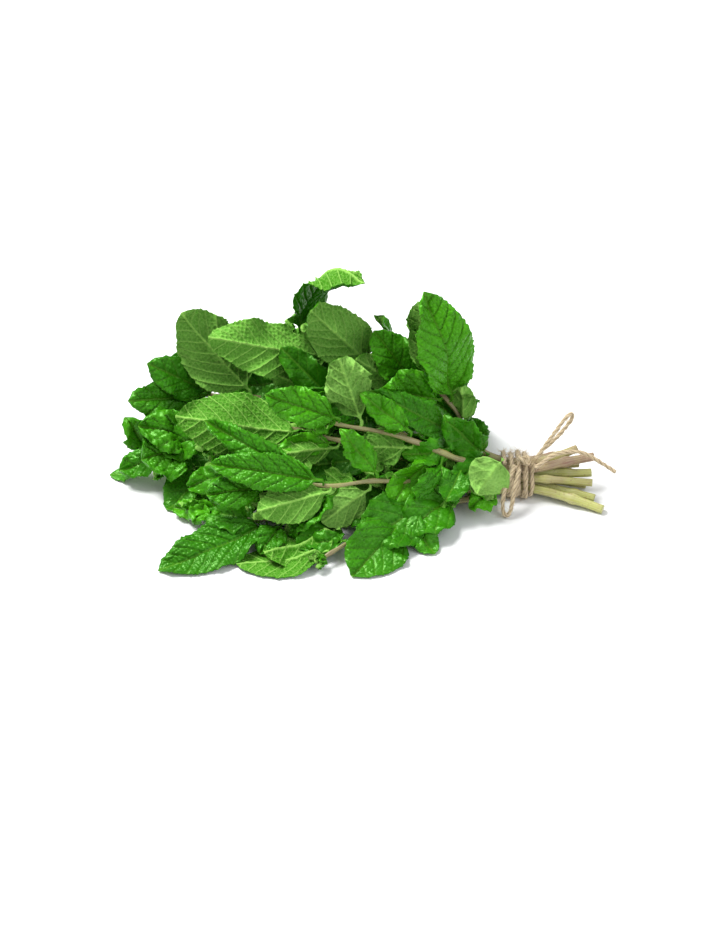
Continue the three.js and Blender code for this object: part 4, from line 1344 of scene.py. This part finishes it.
class MINT_OT_stage(Operator):
    """Make the floor, the soft light and the camera"""

    bl_idname = "mint.stage"
    bl_label = "Stage"

    def execute(self, context):
        settings = context.scene.mint_stage
        scene = context.scene
        target = Vector((0.0020, -0.0106, 0.0136))

        def stand(name, data, place, towards):
            """A lamp or a camera at a place, turned in a direction."""
            made = bpy.data.objects.new(name, data)
            made.location = place
            made.rotation_euler = towards.to_track_quat("-Z", "Y").to_euler()
            scene.collection.objects.link(made)
            return made

        half = 6.0
        corners = [(-half, -half, 0), (half, -half, 0), (half, half, 0), (-half, half, 0)]
        finish, _, shader = new_material("floor", 0.9)
        shader["Base Color"].default_value = (*settings.floor, 1)
        floor = new_object("floor", corners, [(0, 1, 2, 3)], [finish])
        world = bpy.data.worlds.new("studio")
        world.use_nodes = True
        sky = world.node_tree.nodes["Background"].inputs
        sky["Color"].default_value = (1, 1, 1, 1)
        sky["Strength"].default_value = 0.5
        scene.world = world
        for name, place, width, power, tint in (
            ("key", (-0.40, 0.20, 0.85), 0.45, 15.0, (1.0, 1.0, 1.0)),
            ("fill", (0.7, -0.5, 0.7), 0.8, 4.0, (0.9, 0.95, 1.0)),
        ):
            light = bpy.data.lights.new(name, "AREA")
            light.size, light.energy, light.color = width, power, tint
            stand(name, light, place, target - Vector(place))
        camera = bpy.data.cameras.new("camera")
        camera.lens = settings.lens
        back = Vector((0, -math.cos(settings.elevation), math.sin(settings.elevation)))
        scene.camera = stand("camera", camera, target + back * settings.distance, -back)
        scene.view_settings.view_transform = "Standard"
        return {"FINISHED"}


class MINT_PT_panel(Panel):
    """The sidebar panel"""

    bl_idname = "MINT_PT_panel"
    bl_label = "Bunch of mint"
    bl_space_type = "VIEW_3D"
    bl_region_type = "UI"
    bl_category = "Mint"

    def draw(self, context):
        for settings in ("mint_leaf", "mint_stem", "mint_twine", "mint_stage"):
            box = self.layout.box()
            group = getattr(context.scene, settings)
            for name in group.__annotations__:
                box.prop(group, name)
        for made in OPERATORS:
            self.layout.operator(made.bl_idname)


SETTINGS = {
    "mint_leaf": MintLeafSettings,
    "mint_stem": MintStemSettings,
    "mint_twine": MintTwineSettings,
    "mint_stage": MintStageSettings,
}
OPERATORS = (MINT_OT_stage, MINT_OT_bows, MINT_OT_tie, MINT_OT_stems, MINT_OT_leaves, MINT_OT_fill)


def register():
    """Register every class, and give the scene its settings."""
    for made in (*SETTINGS.values(), *OPERATORS, MINT_PT_panel):
        bpy.utils.register_class(made)
    for name, group in SETTINGS.items():
        setattr(bpy.types.Scene, name, PointerProperty(type=group))


def unregister():
    """Undo register()."""
    for name in SETTINGS:
        delattr(bpy.types.Scene, name)
    for made in reversed((*SETTINGS.values(), *OPERATORS, MINT_PT_panel)):
        bpy.utils.unregister_class(made)


def main():
    """Make the stage and every piece."""
    register()
    bpy.ops.mint.stage()
    bpy.ops.mint.bows()
    bpy.ops.mint.tie()
    bpy.ops.mint.stems()
    bpy.ops.mint.leaves()
    bpy.ops.mint.fill()


if __name__ == "__main__":
    main()
